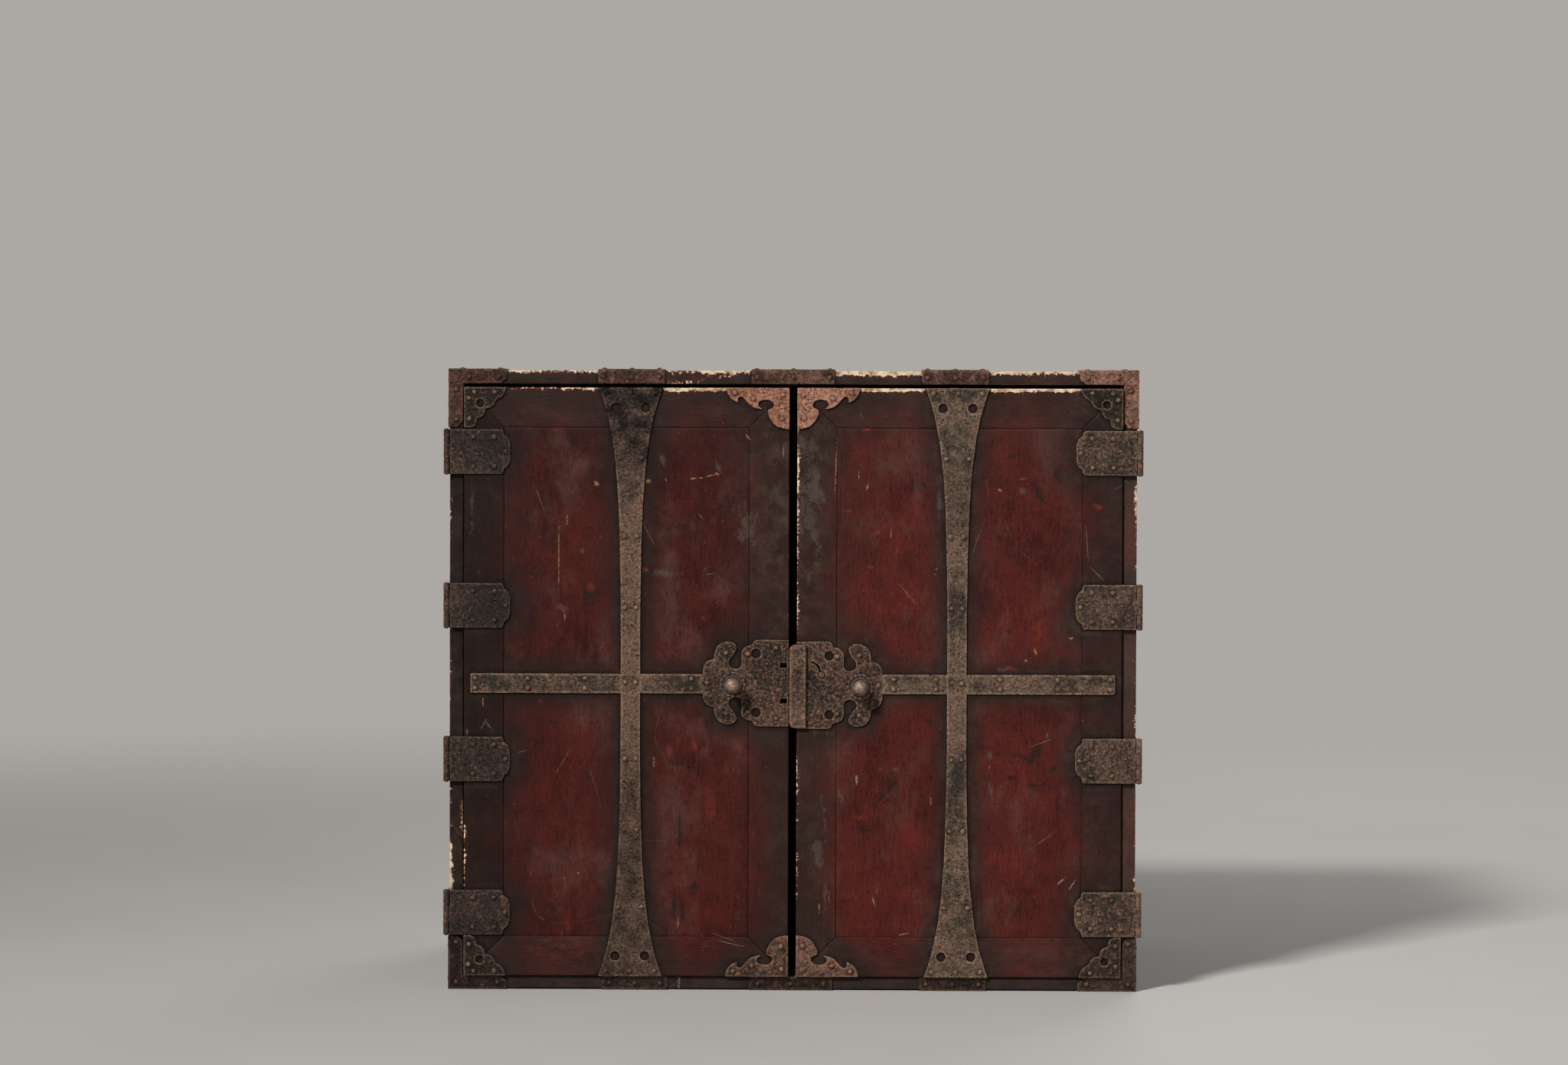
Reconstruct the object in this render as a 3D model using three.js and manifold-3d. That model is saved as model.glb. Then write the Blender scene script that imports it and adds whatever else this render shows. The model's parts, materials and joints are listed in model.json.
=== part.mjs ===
// A two-door sea chest: finger-jointed boards, framed doors, and wrought iron nailed over all of it.
// Millimetres, +Z up. The front faces -Y, and the origin is under the middle of the whole chest.
import * as THREE from "three";
import { mergeVertices } from "three/addons/utils/BufferGeometryUtils.js";
import Module from "manifold-3d";

const wasm = await Module();
wasm.setup();

// Driving dimensions of the case
const CASE_WIDTH = 898;
const CASE_DEPTH = 460;
const CHEST_HEIGHT = 813;
const BOARD = 17.5;
const FLOOR_BOARD = 15.5;
const BACK_BOARD = 12;
const BACK_RABBET = 8;
const FINGERS = 7;
const SHELF_BOARD = 15;
const SHELF_HEIGHT = 392;
const SHELF_DADO = 6;
const SHEET_IRON = 1.8;
const FIT = 0.3;

// Driving dimensions of the doors
const DOOR_THICKNESS = 22;
const DOOR_PROUD = 4;
const DOOR_GAP = 10.4;
const DOOR_SIDE_CLEARANCE = 1.5;
const DOOR_TOP_CLEARANCE = 5;
const DOOR_BOTTOM_CLEARANCE = 1.2;
const SHELF_CLEARANCE = 1.5;
const FRAME_WIDTH = 52;
const TONGUE = 8;
const PLATE_IRON = 2.2;

// Driving dimensions of the hinges
const HINGES_PER_DOOR = 4;
const LEAF_HEIGHT = 58.5;
const LEAF_REACH = 83.5;
const CASE_LEAF_REACH = 70;
const BARREL_RADIUS = 3.9;
const PIN_RADIUS = 1.9;
const KNUCKLE_GAP = 0.4;

// Driving dimensions of the ironwork
const BAND_WIDTH = 24.4;
const LEVEL_BAND_HEIGHT = 25.2;
const LEVEL_BAND_MIDDLE = 402;
const STEP_HEIGHT = 53;
const LOWER_STEP_GAP = 0.75;
const UPPER_STEP_GAP = 1.95;
const LOWER_LEG_GAP = 1.95;
const UPPER_LEG_GAP = 2.45;
const NAIL_RADIUS = 3.2;
const NAIL_HEIGHT = 2.2;
const KNOB_PROJECTION = 30;

// The smith set each door's iron by eye, so the two doors differ by a few millimetres
const LEFT_BAND_CENTRE = 212;
const RIGHT_BAND_CENTRE = 214.5;
const LOCK_HEIGHT = 403;
const RIGHT_LOCK_SAG = 2.5;
const LEFT_KNOB_X = 78.2;
const RIGHT_KNOB_X = 88.2;

// Round things are drawn with this many sides
const ROUND_SIDES = 16;
const SMALL_ROUND_SIDES = 10;
const CURVE_STEPS = 3;
const COARSE_CURVE_STEPS = 2;
const QUARTER_TURN = 90;
const OVERRUN = 5;

// Places that follow from the sizes above
const caseHalf = CASE_WIDTH / 2;
const caseInner = caseHalf - BOARD;
const caseTop = CHEST_HEIGHT - SHEET_IRON;
const roofUnderside = caseTop - BOARD;
const floorTop = SHEET_IRON + FLOOR_BOARD;
const frontReach = DOOR_PROUD + PLATE_IRON + KNOB_PROJECTION;
const backReach = CASE_DEPTH + SHEET_IRON + NAIL_HEIGHT;
const caseFront = (frontReach - backReach) / 2;
const doorFront = -DOOR_PROUD;
const doorBack = doorFront + DOOR_THICKNESS;
const doorInner = DOOR_GAP / 2;
const doorOuter = caseInner - DOOR_SIDE_CLEARANCE;
const doorBottom = floorTop + DOOR_BOTTOM_CLEARANCE;
const doorTop = roofUnderside - DOOR_TOP_CLEARANCE;
const hingeAxisX = caseHalf + BARREL_RADIUS;
const hingeAxisY = doorFront - PLATE_IRON / 2;

// The end hinges sit next to the stepped plates, and the corner irons' legs stop short of them
const leafHalf = LEAF_HEIGHT / 2;
const firstLeafEdge = doorBottom + STEP_HEIGHT + LOWER_STEP_GAP;
const lastLeafEdge = doorTop - STEP_HEIGHT - UPPER_STEP_GAP;
const firstHinge = firstLeafEdge + leafHalf;
const hingeSpacing = (lastLeafEdge - leafHalf - firstHinge) / (HINGES_PER_DOOR - 1);
const lowerLeg = firstLeafEdge - LOWER_LEG_GAP - SHEET_IRON;
const upperLeg = caseTop - lastLeafEdge - UPPER_LEG_GAP;

const rightLockHeight = LOCK_HEIGHT - RIGHT_LOCK_SAG;
const leftIron = { side: "left", band: LEFT_BAND_CENTRE, lock: LOCK_HEIGHT, knobX: LEFT_KNOB_X };
const rightIron = { side: "right", band: RIGHT_BAND_CENTRE, lock: rightLockHeight, knobX: RIGHT_KNOB_X };

// Materials, with the colours that the old lacquer and rust have
const lacquerRed = new THREE.MeshStandardMaterial({ color: 0x4a1512, roughness: 0.55, metalness: 0 });
const lacquerDark = new THREE.MeshStandardMaterial({ color: 0x2a1c18, roughness: 0.6, metalness: 0 });
const bareWood = new THREE.MeshStandardMaterial({ color: 0xa98a5c, roughness: 0.8, metalness: 0 });
const rustIron = new THREE.MeshStandardMaterial({ color: 0x6a4a3c, roughness: 0.75, metalness: 0.6 });
const darkIron = new THREE.MeshStandardMaterial({ color: 0x4a4038, roughness: 0.7, metalness: 0.6 });

// A closed three.js geometry as a solid that can be joined and cut
function solidOf(geometry) {
  const bare = geometry.index ? geometry.toNonIndexed() : geometry.clone();
  bare.deleteAttribute("normal");
  bare.deleteAttribute("uv");
  const merged = mergeVertices(bare);
  const mesh = new wasm.Mesh({
    numProp: 3,
    vertProperties: merged.attributes.position.array,
    triVerts: new Uint32Array(merged.index.array),
  });
  return new wasm.Manifold(mesh);
}

// A finished solid as a geometry that three.js can draw
function geometryOf(solid) {
  const { vertProperties, triVerts } = solid.getMesh();
  const geometry = new THREE.BufferGeometry();
  geometry.setAttribute("position", new THREE.BufferAttribute(vertProperties, 3));
  geometry.setIndex(new THREE.BufferAttribute(triVerts, 1));
  const faceted = geometry.toNonIndexed();
  faceted.computeVertexNormals();
  return faceted;
}

// A box between two limits on each axis
function block([x0, x1], [y0, y1], [z0, z1]) {
  const box = new THREE.BoxGeometry(x1 - x0, y1 - y0, z1 - z0);
  box.translate((x0 + x1) / 2, (y0 + y1) / 2, (z0 + z1) / 2);
  return solidOf(box);
}

// A sheet cut to an outline that is drawn looking at the front: x across, the shape's y up.
// Its back lies at y = back, and it stands thickness proud of that, towards the viewer.
function sheet(outline, thickness, back = 0, steps = CURVE_STEPS) {
  const flat = new THREE.ExtrudeGeometry(outline, {
    depth: thickness,
    bevelEnabled: false,
    curveSegments: steps,
  });
  flat.rotateX(Math.PI / 2);
  flat.translate(0, back, 0);
  return solidOf(flat);
}

// A round bar along the viewing direction, from one y to another
function frontBar(x, z, radius, [y0, y1], sides = ROUND_SIDES) {
  const bar = new THREE.CylinderGeometry(radius, radius, y1 - y0, sides);
  bar.translate(x, (y0 + y1) / 2, z);
  return solidOf(bar);
}

// A round bar that stands upright on the hinge axis
function uprightBar(radius, [z0, z1], sides = SMALL_ROUND_SIDES) {
  const bar = new THREE.CylinderGeometry(radius, radius, z1 - z0, sides);
  bar.rotateX(Math.PI / 2);
  bar.translate(0, 0, (z0 + z1) / 2);
  return solidOf(bar);
}

function outlineOf(corners) {
  return new THREE.Shape(corners.map(([x, z]) => new THREE.Vector2(x, z)));
}

// A convex lobe from the outline's present point to the next cusp
function lobeTo(shape, x, z, bulge) {
  const from = shape.currentPoint;
  const dx = x - from.x;
  const dz = z - from.y;
  const length = Math.hypot(dx, dz);
  const midX = (x + from.x) / 2 + (2 * bulge * dz) / length;
  const midZ = (z + from.y) / 2 - (2 * bulge * dx) / length;
  shape.quadraticCurveTo(midX, midZ, x, z);
}

// A smooth run through hand-placed points, which are shares of the piece's width and height
function runThrough(shape, shares, width, height) {
  shape.splineThru(shares.map(([u, v]) => new THREE.Vector2(u * width, v * height)));
}

// A forged nail's domed head, standing on a face at y = 0 and rooted a little way into it
const nailHeadProfileShares = [
  [0, -0.5],
  [1, -0.5],
  [0.74, 0.72],
  [0, 1],
];
const NAIL_SIDES = 6;

function nailHead() {
  const profile = nailHeadProfileShares.map(
    ([r, h]) => new THREE.Vector2(r * NAIL_RADIUS, h * NAIL_HEIGHT),
  );
  const head = new THREE.LatheGeometry(profile, NAIL_SIDES);
  head.rotateX(Math.PI);
  return solidOf(head);
}

// Nail heads on the front of a sheet, at places given as [x, z]
function nailed(plate, face, places) {
  const head = nailHead();
  return places.reduce((iron, [x, z]) => iron.add(head.translate([x, face, z])), plate);
}

// Round holes right through a sheet
function pierced(plate, radius, places) {
  const through = [-CASE_DEPTH, CASE_DEPTH];
  const sides = SMALL_ROUND_SIDES;
  return places.reduce((iron, [x, z]) => iron.subtract(frontBar(x, z, radius, through, sides)), plate);
}

function addMesh(group, name, solid, material, x = 0, y = 0, z = 0) {
  const mesh = new THREE.Mesh(geometryOf(solid), material);
  mesh.name = name;
  mesh.position.set(x, y, z);
  group.add(mesh);
  return mesh;
}

// The case. In its group y = 0 is the front edge of the boards.

// The blocks that a row of corner fingers fills, every second one along the depth
function fingerRow(first, xSpan, zSpan, grow) {
  const pitch = CASE_DEPTH / FINGERS;
  const blocks = [];
  for (let i = first; i < FINGERS; i += 2) {
    const near = i === 0 ? -OVERRUN : i * pitch - grow;
    const far = i === FINGERS - 1 ? CASE_DEPTH + OVERRUN : (i + 1) * pitch + grow;
    blocks.push(block(xSpan, [near, far], zSpan));
  }
  return blocks;
}

function cutAll(solid, blocks) {
  return blocks.reduce((rest, cutter) => rest.subtract(cutter), solid);
}

// The space that the back panel fills, behind the boards
function backRabbet(grow) {
  return block(
    [-caseInner - BACK_RABBET - grow, caseInner + BACK_RABBET + grow],
    [CASE_DEPTH - BACK_BOARD - grow, CASE_DEPTH + OVERRUN],
    [floorTop - BACK_RABBET - grow, roofUnderside + BACK_RABBET + grow],
  );
}

// The top and bottom boards keep the first, third, fifth and last finger at each end
function levelBoard(z0, z1) {
  let board = block([-caseHalf, caseHalf], [0, CASE_DEPTH], [z0, z1]);
  const zSpan = [z0 - OVERRUN, z1 + OVERRUN];
  board = cutAll(board, fingerRow(1, [-caseHalf - OVERRUN, -caseInner + FIT], zSpan, FIT / 2));
  board = cutAll(board, fingerRow(1, [caseInner - FIT, caseHalf + OVERRUN], zSpan, FIT / 2));
  return board.subtract(backRabbet(0));
}

// A side board, as seen on the right: the other fingers at its ends, and a dado for the shelf
function sideBoard() {
  let board = block([caseInner, caseHalf], [0, CASE_DEPTH], [SHEET_IRON, caseTop]);
  const xSpan = [caseInner - OVERRUN, caseHalf + OVERRUN];
  board = cutAll(board, fingerRow(0, xSpan, [roofUnderside - FIT, caseTop + OVERRUN], FIT / 2));
  board = cutAll(board, fingerRow(0, xSpan, [SHEET_IRON - OVERRUN, floorTop + FIT], FIT / 2));
  const dado = block(
    [caseInner - OVERRUN, caseInner + SHELF_DADO],
    [doorBack + SHELF_CLEARANCE - FIT, CASE_DEPTH],
    [SHELF_HEIGHT, SHELF_HEIGHT + SHELF_BOARD],
  );
  return board.subtract(dado).subtract(backRabbet(0));
}

// The shelf sits in both dadoes, and its front edge is what the doors close against
function shelf() {
  const halfWidth = caseInner + SHELF_DADO - FIT;
  return block(
    [-halfWidth, halfWidth],
    [doorBack + SHELF_CLEARANCE, CASE_DEPTH - BACK_BOARD - FIT],
    [SHELF_HEIGHT + FIT, SHELF_HEIGHT + SHELF_BOARD - FIT],
  );
}

function addCase(group) {
  addMesh(group, "case_top_board", levelBoard(roofUnderside, caseTop), lacquerDark);
  addMesh(group, "case_bottom_board", levelBoard(SHEET_IRON, floorTop), lacquerDark);
  const side = sideBoard();
  addMesh(group, "case_side_right", side, lacquerDark);
  addMesh(group, "case_side_left", side.mirror([1, 0, 0]), lacquerDark);
  addMesh(group, "case_back_panel", backRabbet(-FIT).trimByPlane([0, -1, 0], -CASE_DEPTH), bareWood);
  addMesh(group, "case_shelf", shelf(), bareWood);
}

// Irons at the case's corners. In their own frame the corner of the case is the origin,
// and the iron runs from there towards +x and +z, with its front on y = 0.
const CORNER_ARM = 75;
const CORNER_RETURN = 60;
const CORNER_LOBE = 10;
const CORNER_CUSP = 3.5;
const upperArmNailShares = [0.34, 0.86];
const upperLegNailShares = [0.34, 0.86];
const lowerArmNailShares = [0.12, 0.84];
const lowerLegNailShares = [0.88];

// The free end of an arm has two lobes with a cusp between them in place of its inner corner
function cornerOutline(frontWidth, frontHeight, rise) {
  const shape = new THREE.Shape();
  const bulge = CORNER_CUSP / 2;
  shape.moveTo(-SHEET_IRON, -SHEET_IRON);
  shape.lineTo(CORNER_ARM, -SHEET_IRON);
  shape.lineTo(CORNER_ARM, frontHeight - CORNER_LOBE);
  lobeTo(shape, CORNER_ARM - CORNER_LOBE / 2, frontHeight - CORNER_CUSP, bulge);
  lobeTo(shape, CORNER_ARM - CORNER_LOBE, frontHeight, bulge / 2);
  shape.lineTo(frontWidth, frontHeight);
  shape.lineTo(frontWidth, rise - CORNER_LOBE);
  lobeTo(shape, frontWidth - CORNER_CUSP, rise - CORNER_LOBE / 2, bulge / 2);
  lobeTo(shape, frontWidth - CORNER_LOBE, rise, bulge);
  shape.lineTo(-SHEET_IRON, rise);
  shape.closePath();
  return shape;
}

// The iron folds from the front over the level board and round the side board
function cornerIron(levelThickness, rise, armNails, legNails) {
  const front = sheet(cornerOutline(BOARD, levelThickness, rise), SHEET_IRON);
  const over = block([-SHEET_IRON, CORNER_ARM], [-SHEET_IRON, CORNER_RETURN], [-SHEET_IRON, 0]);
  const round = block([-SHEET_IRON, 0], [-SHEET_IRON, CORNER_RETURN], [-SHEET_IRON, rise]);
  const nails = armNails.map((share) => [share * CORNER_ARM, levelThickness / 2]);
  nails.push(...legNails.map((share) => [BOARD / 2, share * rise]));
  return nailed(front.add(over).add(round), -SHEET_IRON, nails);
}

function addCornerIrons(group) {
  const lower = cornerIron(FLOOR_BOARD, lowerLeg, lowerArmNailShares, lowerLegNailShares);
  const flat = cornerIron(BOARD, upperLeg, upperArmNailShares, upperLegNailShares);
  const upper = flat.mirror([0, 0, 1]);
  const back = lower.mirror([0, 1, 0]);
  addMesh(group, "corner_iron_bottom_left", lower, rustIron, -caseHalf, 0, SHEET_IRON);
  addMesh(group, "corner_iron_bottom_right", lower.mirror([1, 0, 0]), rustIron, caseHalf, 0, SHEET_IRON);
  addMesh(group, "corner_iron_top_left", upper, rustIron, -caseHalf, 0, caseTop);
  addMesh(group, "corner_iron_top_right", upper.mirror([1, 0, 0]), rustIron, caseHalf, 0, caseTop);
  addMesh(group, "back_iron_left", back, rustIron, -caseHalf, CASE_DEPTH, SHEET_IRON);
  addMesh(group, "back_iron_right", back.mirror([1, 0, 0]), rustIron, caseHalf, CASE_DEPTH, SHEET_IRON);
}

// Straps folded over the front edge of the top board, one over each door's band and one mid-way
const STRAP_WIDTH = 87;
const MIDDLE_STRAP_WIDTH = 109;
const STRAP_RETURN = 62;
const STRAP_NAIL_INSET = 7;
const STRAP_CENTRE = 211.5;

function edgeStrap(width) {
  const half = width / 2;
  const front = block([-half, half], [-SHEET_IRON, 0], [-BOARD, SHEET_IRON]);
  const over = block([-half, half], [-SHEET_IRON, STRAP_RETURN], [0, SHEET_IRON]);
  const nailX = half - STRAP_NAIL_INSET;
  return nailed(front.add(over), -SHEET_IRON, [-nailX, 0, nailX].map((x) => [x, -BOARD / 2]));
}

function addTopStraps(group) {
  addMesh(group, "top_strap_left", edgeStrap(STRAP_WIDTH), rustIron, -STRAP_CENTRE, 0, caseTop);
  addMesh(group, "top_strap_middle", edgeStrap(MIDDLE_STRAP_WIDTH), rustIron, 0, 0, caseTop);
  addMesh(group, "top_strap_right", edgeStrap(STRAP_WIDTH), rustIron, STRAP_CENTRE, 0, caseTop);
}

// Hinges. In a leaf's own frame the pin is the z axis. A door leaf lies on the door's front and
// holds the middle knuckle. A case leaf lies on the chest's side and holds the outer two and the pin.
const NOSE_LENGTH = 11;
const NOSE_CUSP_INSET = 8.5;
const NOSE_CUSP_DROP = 6.5;
const NOSE_FLAT = 21;
const NOSE_BULGE = 2;
const LEAF_NAIL_RISE = 19;
const leafNailShares = [0.42, 0.75];
const LEAF_END_NAIL_INSET = 6;

const knuckle = LEAF_HEIGHT / 3;
const knuckleHalf = knuckle / 2;
const leafClearance = BARREL_RADIUS + KNUCKLE_GAP;

// A leaf's outline from the edge of its barrel out to its nose, which has a cusp at each corner
function leafOutline(start, reach) {
  const shape = new THREE.Shape();
  const cuspX = reach - NOSE_CUSP_INSET;
  const cuspZ = leafHalf - NOSE_CUSP_DROP;
  shape.moveTo(start, -leafHalf);
  shape.lineTo(reach - NOSE_LENGTH, -leafHalf);
  lobeTo(shape, cuspX, -cuspZ, NOSE_BULGE / 2);
  lobeTo(shape, reach, -NOSE_FLAT / 2, NOSE_BULGE);
  shape.lineTo(reach, NOSE_FLAT / 2);
  lobeTo(shape, cuspX, cuspZ, NOSE_BULGE);
  lobeTo(shape, reach - NOSE_LENGTH, leafHalf, NOSE_BULGE / 2);
  shape.lineTo(start, leafHalf);
  shape.closePath();
  return shape;
}

function leafNails(reach) {
  const rows = leafNailShares.flatMap((share) => [
    [share * reach, LEAF_NAIL_RISE],
    [share * reach, -LEAF_NAIL_RISE],
  ]);
  return [...rows, [reach - LEAF_END_NAIL_INSET, 0]];
}

// The right-hand door leaf, which runs from its barrel towards -x
function doorLeaf() {
  const half = PLATE_IRON / 2;
  const middle = knuckleHalf - KNUCKLE_GAP / 2;
  const plate = sheet(leafOutline(leafClearance, LEAF_REACH), PLATE_IRON, half, COARSE_CURVE_STEPS);
  const tab = block([0, leafClearance + OVERRUN], [-half, half], [-middle, middle]);
  const bore = uprightBar(PIN_RADIUS + KNUCKLE_GAP / 2, [-leafHalf, leafHalf]);
  const barrel = uprightBar(BARREL_RADIUS, [-middle, middle]);
  const leaf = nailed(plate, -half, leafNails(LEAF_REACH)).add(tab).add(barrel).subtract(bore);
  return leaf.mirror([1, 0, 0]);
}

// The right-hand case leaf. It runs back along the chest's side from the barrel.
function caseLeaf() {
  const sideFace = caseHalf - hingeAxisX;
  const plateFace = sideFace + PLATE_IRON;
  const reach = CASE_LEAF_REACH;
  const tabFrom = knuckleHalf + KNUCKLE_GAP / 2;
  const plate = sheet(leafOutline(leafClearance, reach), PLATE_IRON, 0, COARSE_CURVE_STEPS);
  const flat = nailed(plate, -PLATE_IRON, leafNails(reach));
  let leaf = flat.rotate([0, 0, QUARTER_TURN]).translate([sideFace, 0, 0]);
  for (const [z0, z1] of [[tabFrom, leafHalf], [-leafHalf, -tabFrom]]) {
    leaf = leaf.add(block([sideFace, plateFace], [0, leafClearance + OVERRUN], [z0, z1]));
    leaf = leaf.add(uprightBar(BARREL_RADIUS, [z0, z1]));
  }
  return leaf.add(uprightBar(PIN_RADIUS, [-leafHalf, leafHalf]));
}

function addHingeLeaves(group, side, what, leaf, material) {
  for (let i = 0; i < HINGES_PER_DOOR; i += 1) {
    const z = firstHinge + i * hingeSpacing;
    addMesh(group, `hinge_${what}_${side}_${i + 1}`, leaf, material, hingeAxisX, hingeAxisY, z);
  }
}

// The doors. Each is modelled as the right-hand one, with x measured from the middle of the chest,
// and the left-hand one is its mirror image.

// A frame member between two mitred ends, given by its four corners, with a groove for the panel
function frameMember(corners, groove) {
  return sheet(outlineOf(corners), DOOR_THICKNESS, doorBack).subtract(groove);
}

// The tongue all round the panel, or the groove for it
function tongueSpace(grow) {
  const reach = TONGUE + grow;
  const middle = (doorFront + doorBack) / 2;
  return block(
    [doorInner + FRAME_WIDTH - reach, doorOuter - FRAME_WIDTH + reach],
    [middle - TONGUE / 2 - grow, middle + TONGUE / 2 + grow],
    [doorBottom + FRAME_WIDTH - reach, doorTop - FRAME_WIDTH + reach],
  );
}

// Bolt and key post, in the meeting stile of the right-hand door, under the lock plate
const POCKET_DEPTH = 7;
const POCKET_FROM = 7.5;
const POCKET_TO = 47;
const BOLT_THICKNESS = 5;
const BOLT_BAR = 5;
const BOLT_THROW = 18;
const BOLT_BAR_HALF = 29;
const PRONG_SPACING = 46.5;
const PRONG_HEIGHT = 6;
const PRONG_SETBACK = 0.4;
const BOLT_CLEARANCE = 0.6;
const KEY_POST_X = 37.5;
const KEY_POST_RISE = 13.7;
const KEY_POST_RADIUS = 4.1;
const KEY_POST_ROOT = 6;
const KEYHOLE_RADIUS = 5.5;
const KEY_SLOT_WIDTH = 2.8;
const KEY_SLOT_RUN = 12;
const KEY_SLOT_RISE = 16.6;
const keySlotShares = [
  [-0.12, 0.3],
  [-0.4, 0.73],
  [-1, 1],
];

const pocketBack = doorFront + POCKET_DEPTH;
const boltMiddle = LOCK_HEIGHT;
const boltBarStart = POCKET_FROM + BOLT_CLEARANCE + BOLT_THROW;
const keyPostZ = rightLockHeight + KEY_POST_RISE;
const prongHeights = [-PRONG_SPACING / 2, PRONG_SPACING / 2];

// Channels that let the two prongs through a meeting edge
function prongChannels(depth) {
  const half = PRONG_HEIGHT / 2 + BOLT_CLEARANCE;
  return prongHeights.map((rise) =>
    block(
      [doorInner - OVERRUN, depth],
      [doorFront - OVERRUN, pocketBack],
      [boltMiddle + rise - half, boltMiddle + rise + half],
    ),
  );
}

function lockPocket() {
  const half = BOLT_BAR_HALF + BOLT_CLEARANCE;
  return block(
    [POCKET_FROM, POCKET_TO],
    [doorFront - OVERRUN, pocketBack],
    [boltMiddle - half, boltMiddle + half],
  );
}

// The hole in the pocket's floor that the key post is driven into
function keyPostHole() {
  const span = [pocketBack - OVERRUN, pocketBack + KEY_POST_ROOT + FIT];
  return frontBar(KEY_POST_X, keyPostZ, KEY_POST_RADIUS + FIT / 2, span);
}

function keyPost() {
  const span = [doorFront - PLATE_IRON, pocketBack + KEY_POST_ROOT];
  return frontBar(KEY_POST_X, keyPostZ, KEY_POST_RADIUS, span);
}

// The bolt is one upright bar with two prongs that point at the other door
function lockBolt() {
  const y0 = pocketBack - BOLT_CLEARANCE - BOLT_THICKNESS;
  const ySpan = [y0, y0 + BOLT_THICKNESS];
  const bar = block(
    [boltBarStart, boltBarStart + BOLT_BAR],
    ySpan,
    [boltMiddle - BOLT_BAR_HALF, boltMiddle + BOLT_BAR_HALF],
  );
  return prongHeights.reduce((bolt, rise) => {
    const middle = boltMiddle + rise;
    const zSpan = [middle - PRONG_HEIGHT / 2, middle + PRONG_HEIGHT / 2];
    return bolt.add(block([doorInner + PRONG_SETBACK, boltBarStart + BOLT_BAR], ySpan, zSpan));
  }, bar);
}

// Four mitred members round a flush panel. The back of the meeting edge is chamfered,
// so that it clears the other door as it swings.
const MEETING_CHAMFER = 3;

function addDoorWood(group, iron, cuts) {
  const x0 = doorInner;
  const x1 = doorOuter;
  const z0 = doorBottom;
  const z1 = doorTop;
  const w = FRAME_WIDTH;
  const m = FIT;
  const groove = tongueSpace(FIT);
  const chamfer = new THREE.Shape();
  chamfer.moveTo(x0 - OVERRUN, -doorBack - OVERRUN);
  chamfer.lineTo(x0 + MEETING_CHAMFER + OVERRUN, -doorBack - OVERRUN);
  chamfer.lineTo(x0 - OVERRUN, MEETING_CHAMFER - doorBack + OVERRUN);
  const bevel = new THREE.ExtrudeGeometry(chamfer, { depth: CHEST_HEIGHT, bevelEnabled: false });
  const chamferCutter = solidOf(bevel).mirror([0, 1, 0]);

  const members = {
    stile_meeting: [[x0, z0], [x0 + w, z0 + w], [x0 + w, z1 - w], [x0, z1]],
    stile_hinge: [[x1, z0], [x1, z1], [x1 - w, z1 - w], [x1 - w, z0 + w]],
    rail_bottom: [[x0 + m, z0], [x1 - m, z0], [x1 - w - m, z0 + w], [x0 + w + m, z0 + w]],
    rail_top: [[x0 + m, z1], [x0 + w + m, z1 - w], [x1 - w - m, z1 - w], [x1 - m, z1]],
  };
  for (const [name, corners] of Object.entries(members)) {
    let member = frameMember(corners, groove).subtract(chamferCutter);
    if (name === "stile_meeting") member = cutAll(member, cuts);
    addMesh(group, `door_${iron.side}_${name}`, member, lacquerRed);
  }
  const panel = block([x0 + w + m, x1 - w - m], [doorFront, doorBack], [z0 + w + m, z1 - w - m]);
  addMesh(group, `door_${iron.side}_panel`, panel.add(tongueSpace(0)).subtract(knobHole(iron)), lacquerRed);
}

// Upright band: it flares towards the top and bottom of the door
const FLARE = 29.6;
const FLARE_LENGTH = 73;
const FLARE_STEPS = 8;
const FLARE_SPAN = 300;
const FLARE_CROWDING = 1.5;
const BAND_HOLE_RADIUS = 6.4;
const BAND_HOLE_OFFSET = 19.4;
const BAND_HOLE_INSET = 26.5;
const BAND_ROW_INSET = 7;
const BAND_ROW_OFFSET = 32;
const BAND_NAIL_EDGE = 5.6;
const BAND_LAP = 1.2;
const bandPairHeightShares = [0.118, 0.249, 0.37, 0.5, 0.627, 0.748, 0.88];

function bandHalfWidth(fromEnd) {
  return BAND_WIDTH / 2 + FLARE * Math.exp(-fromEnd / FLARE_LENGTH);
}

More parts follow.
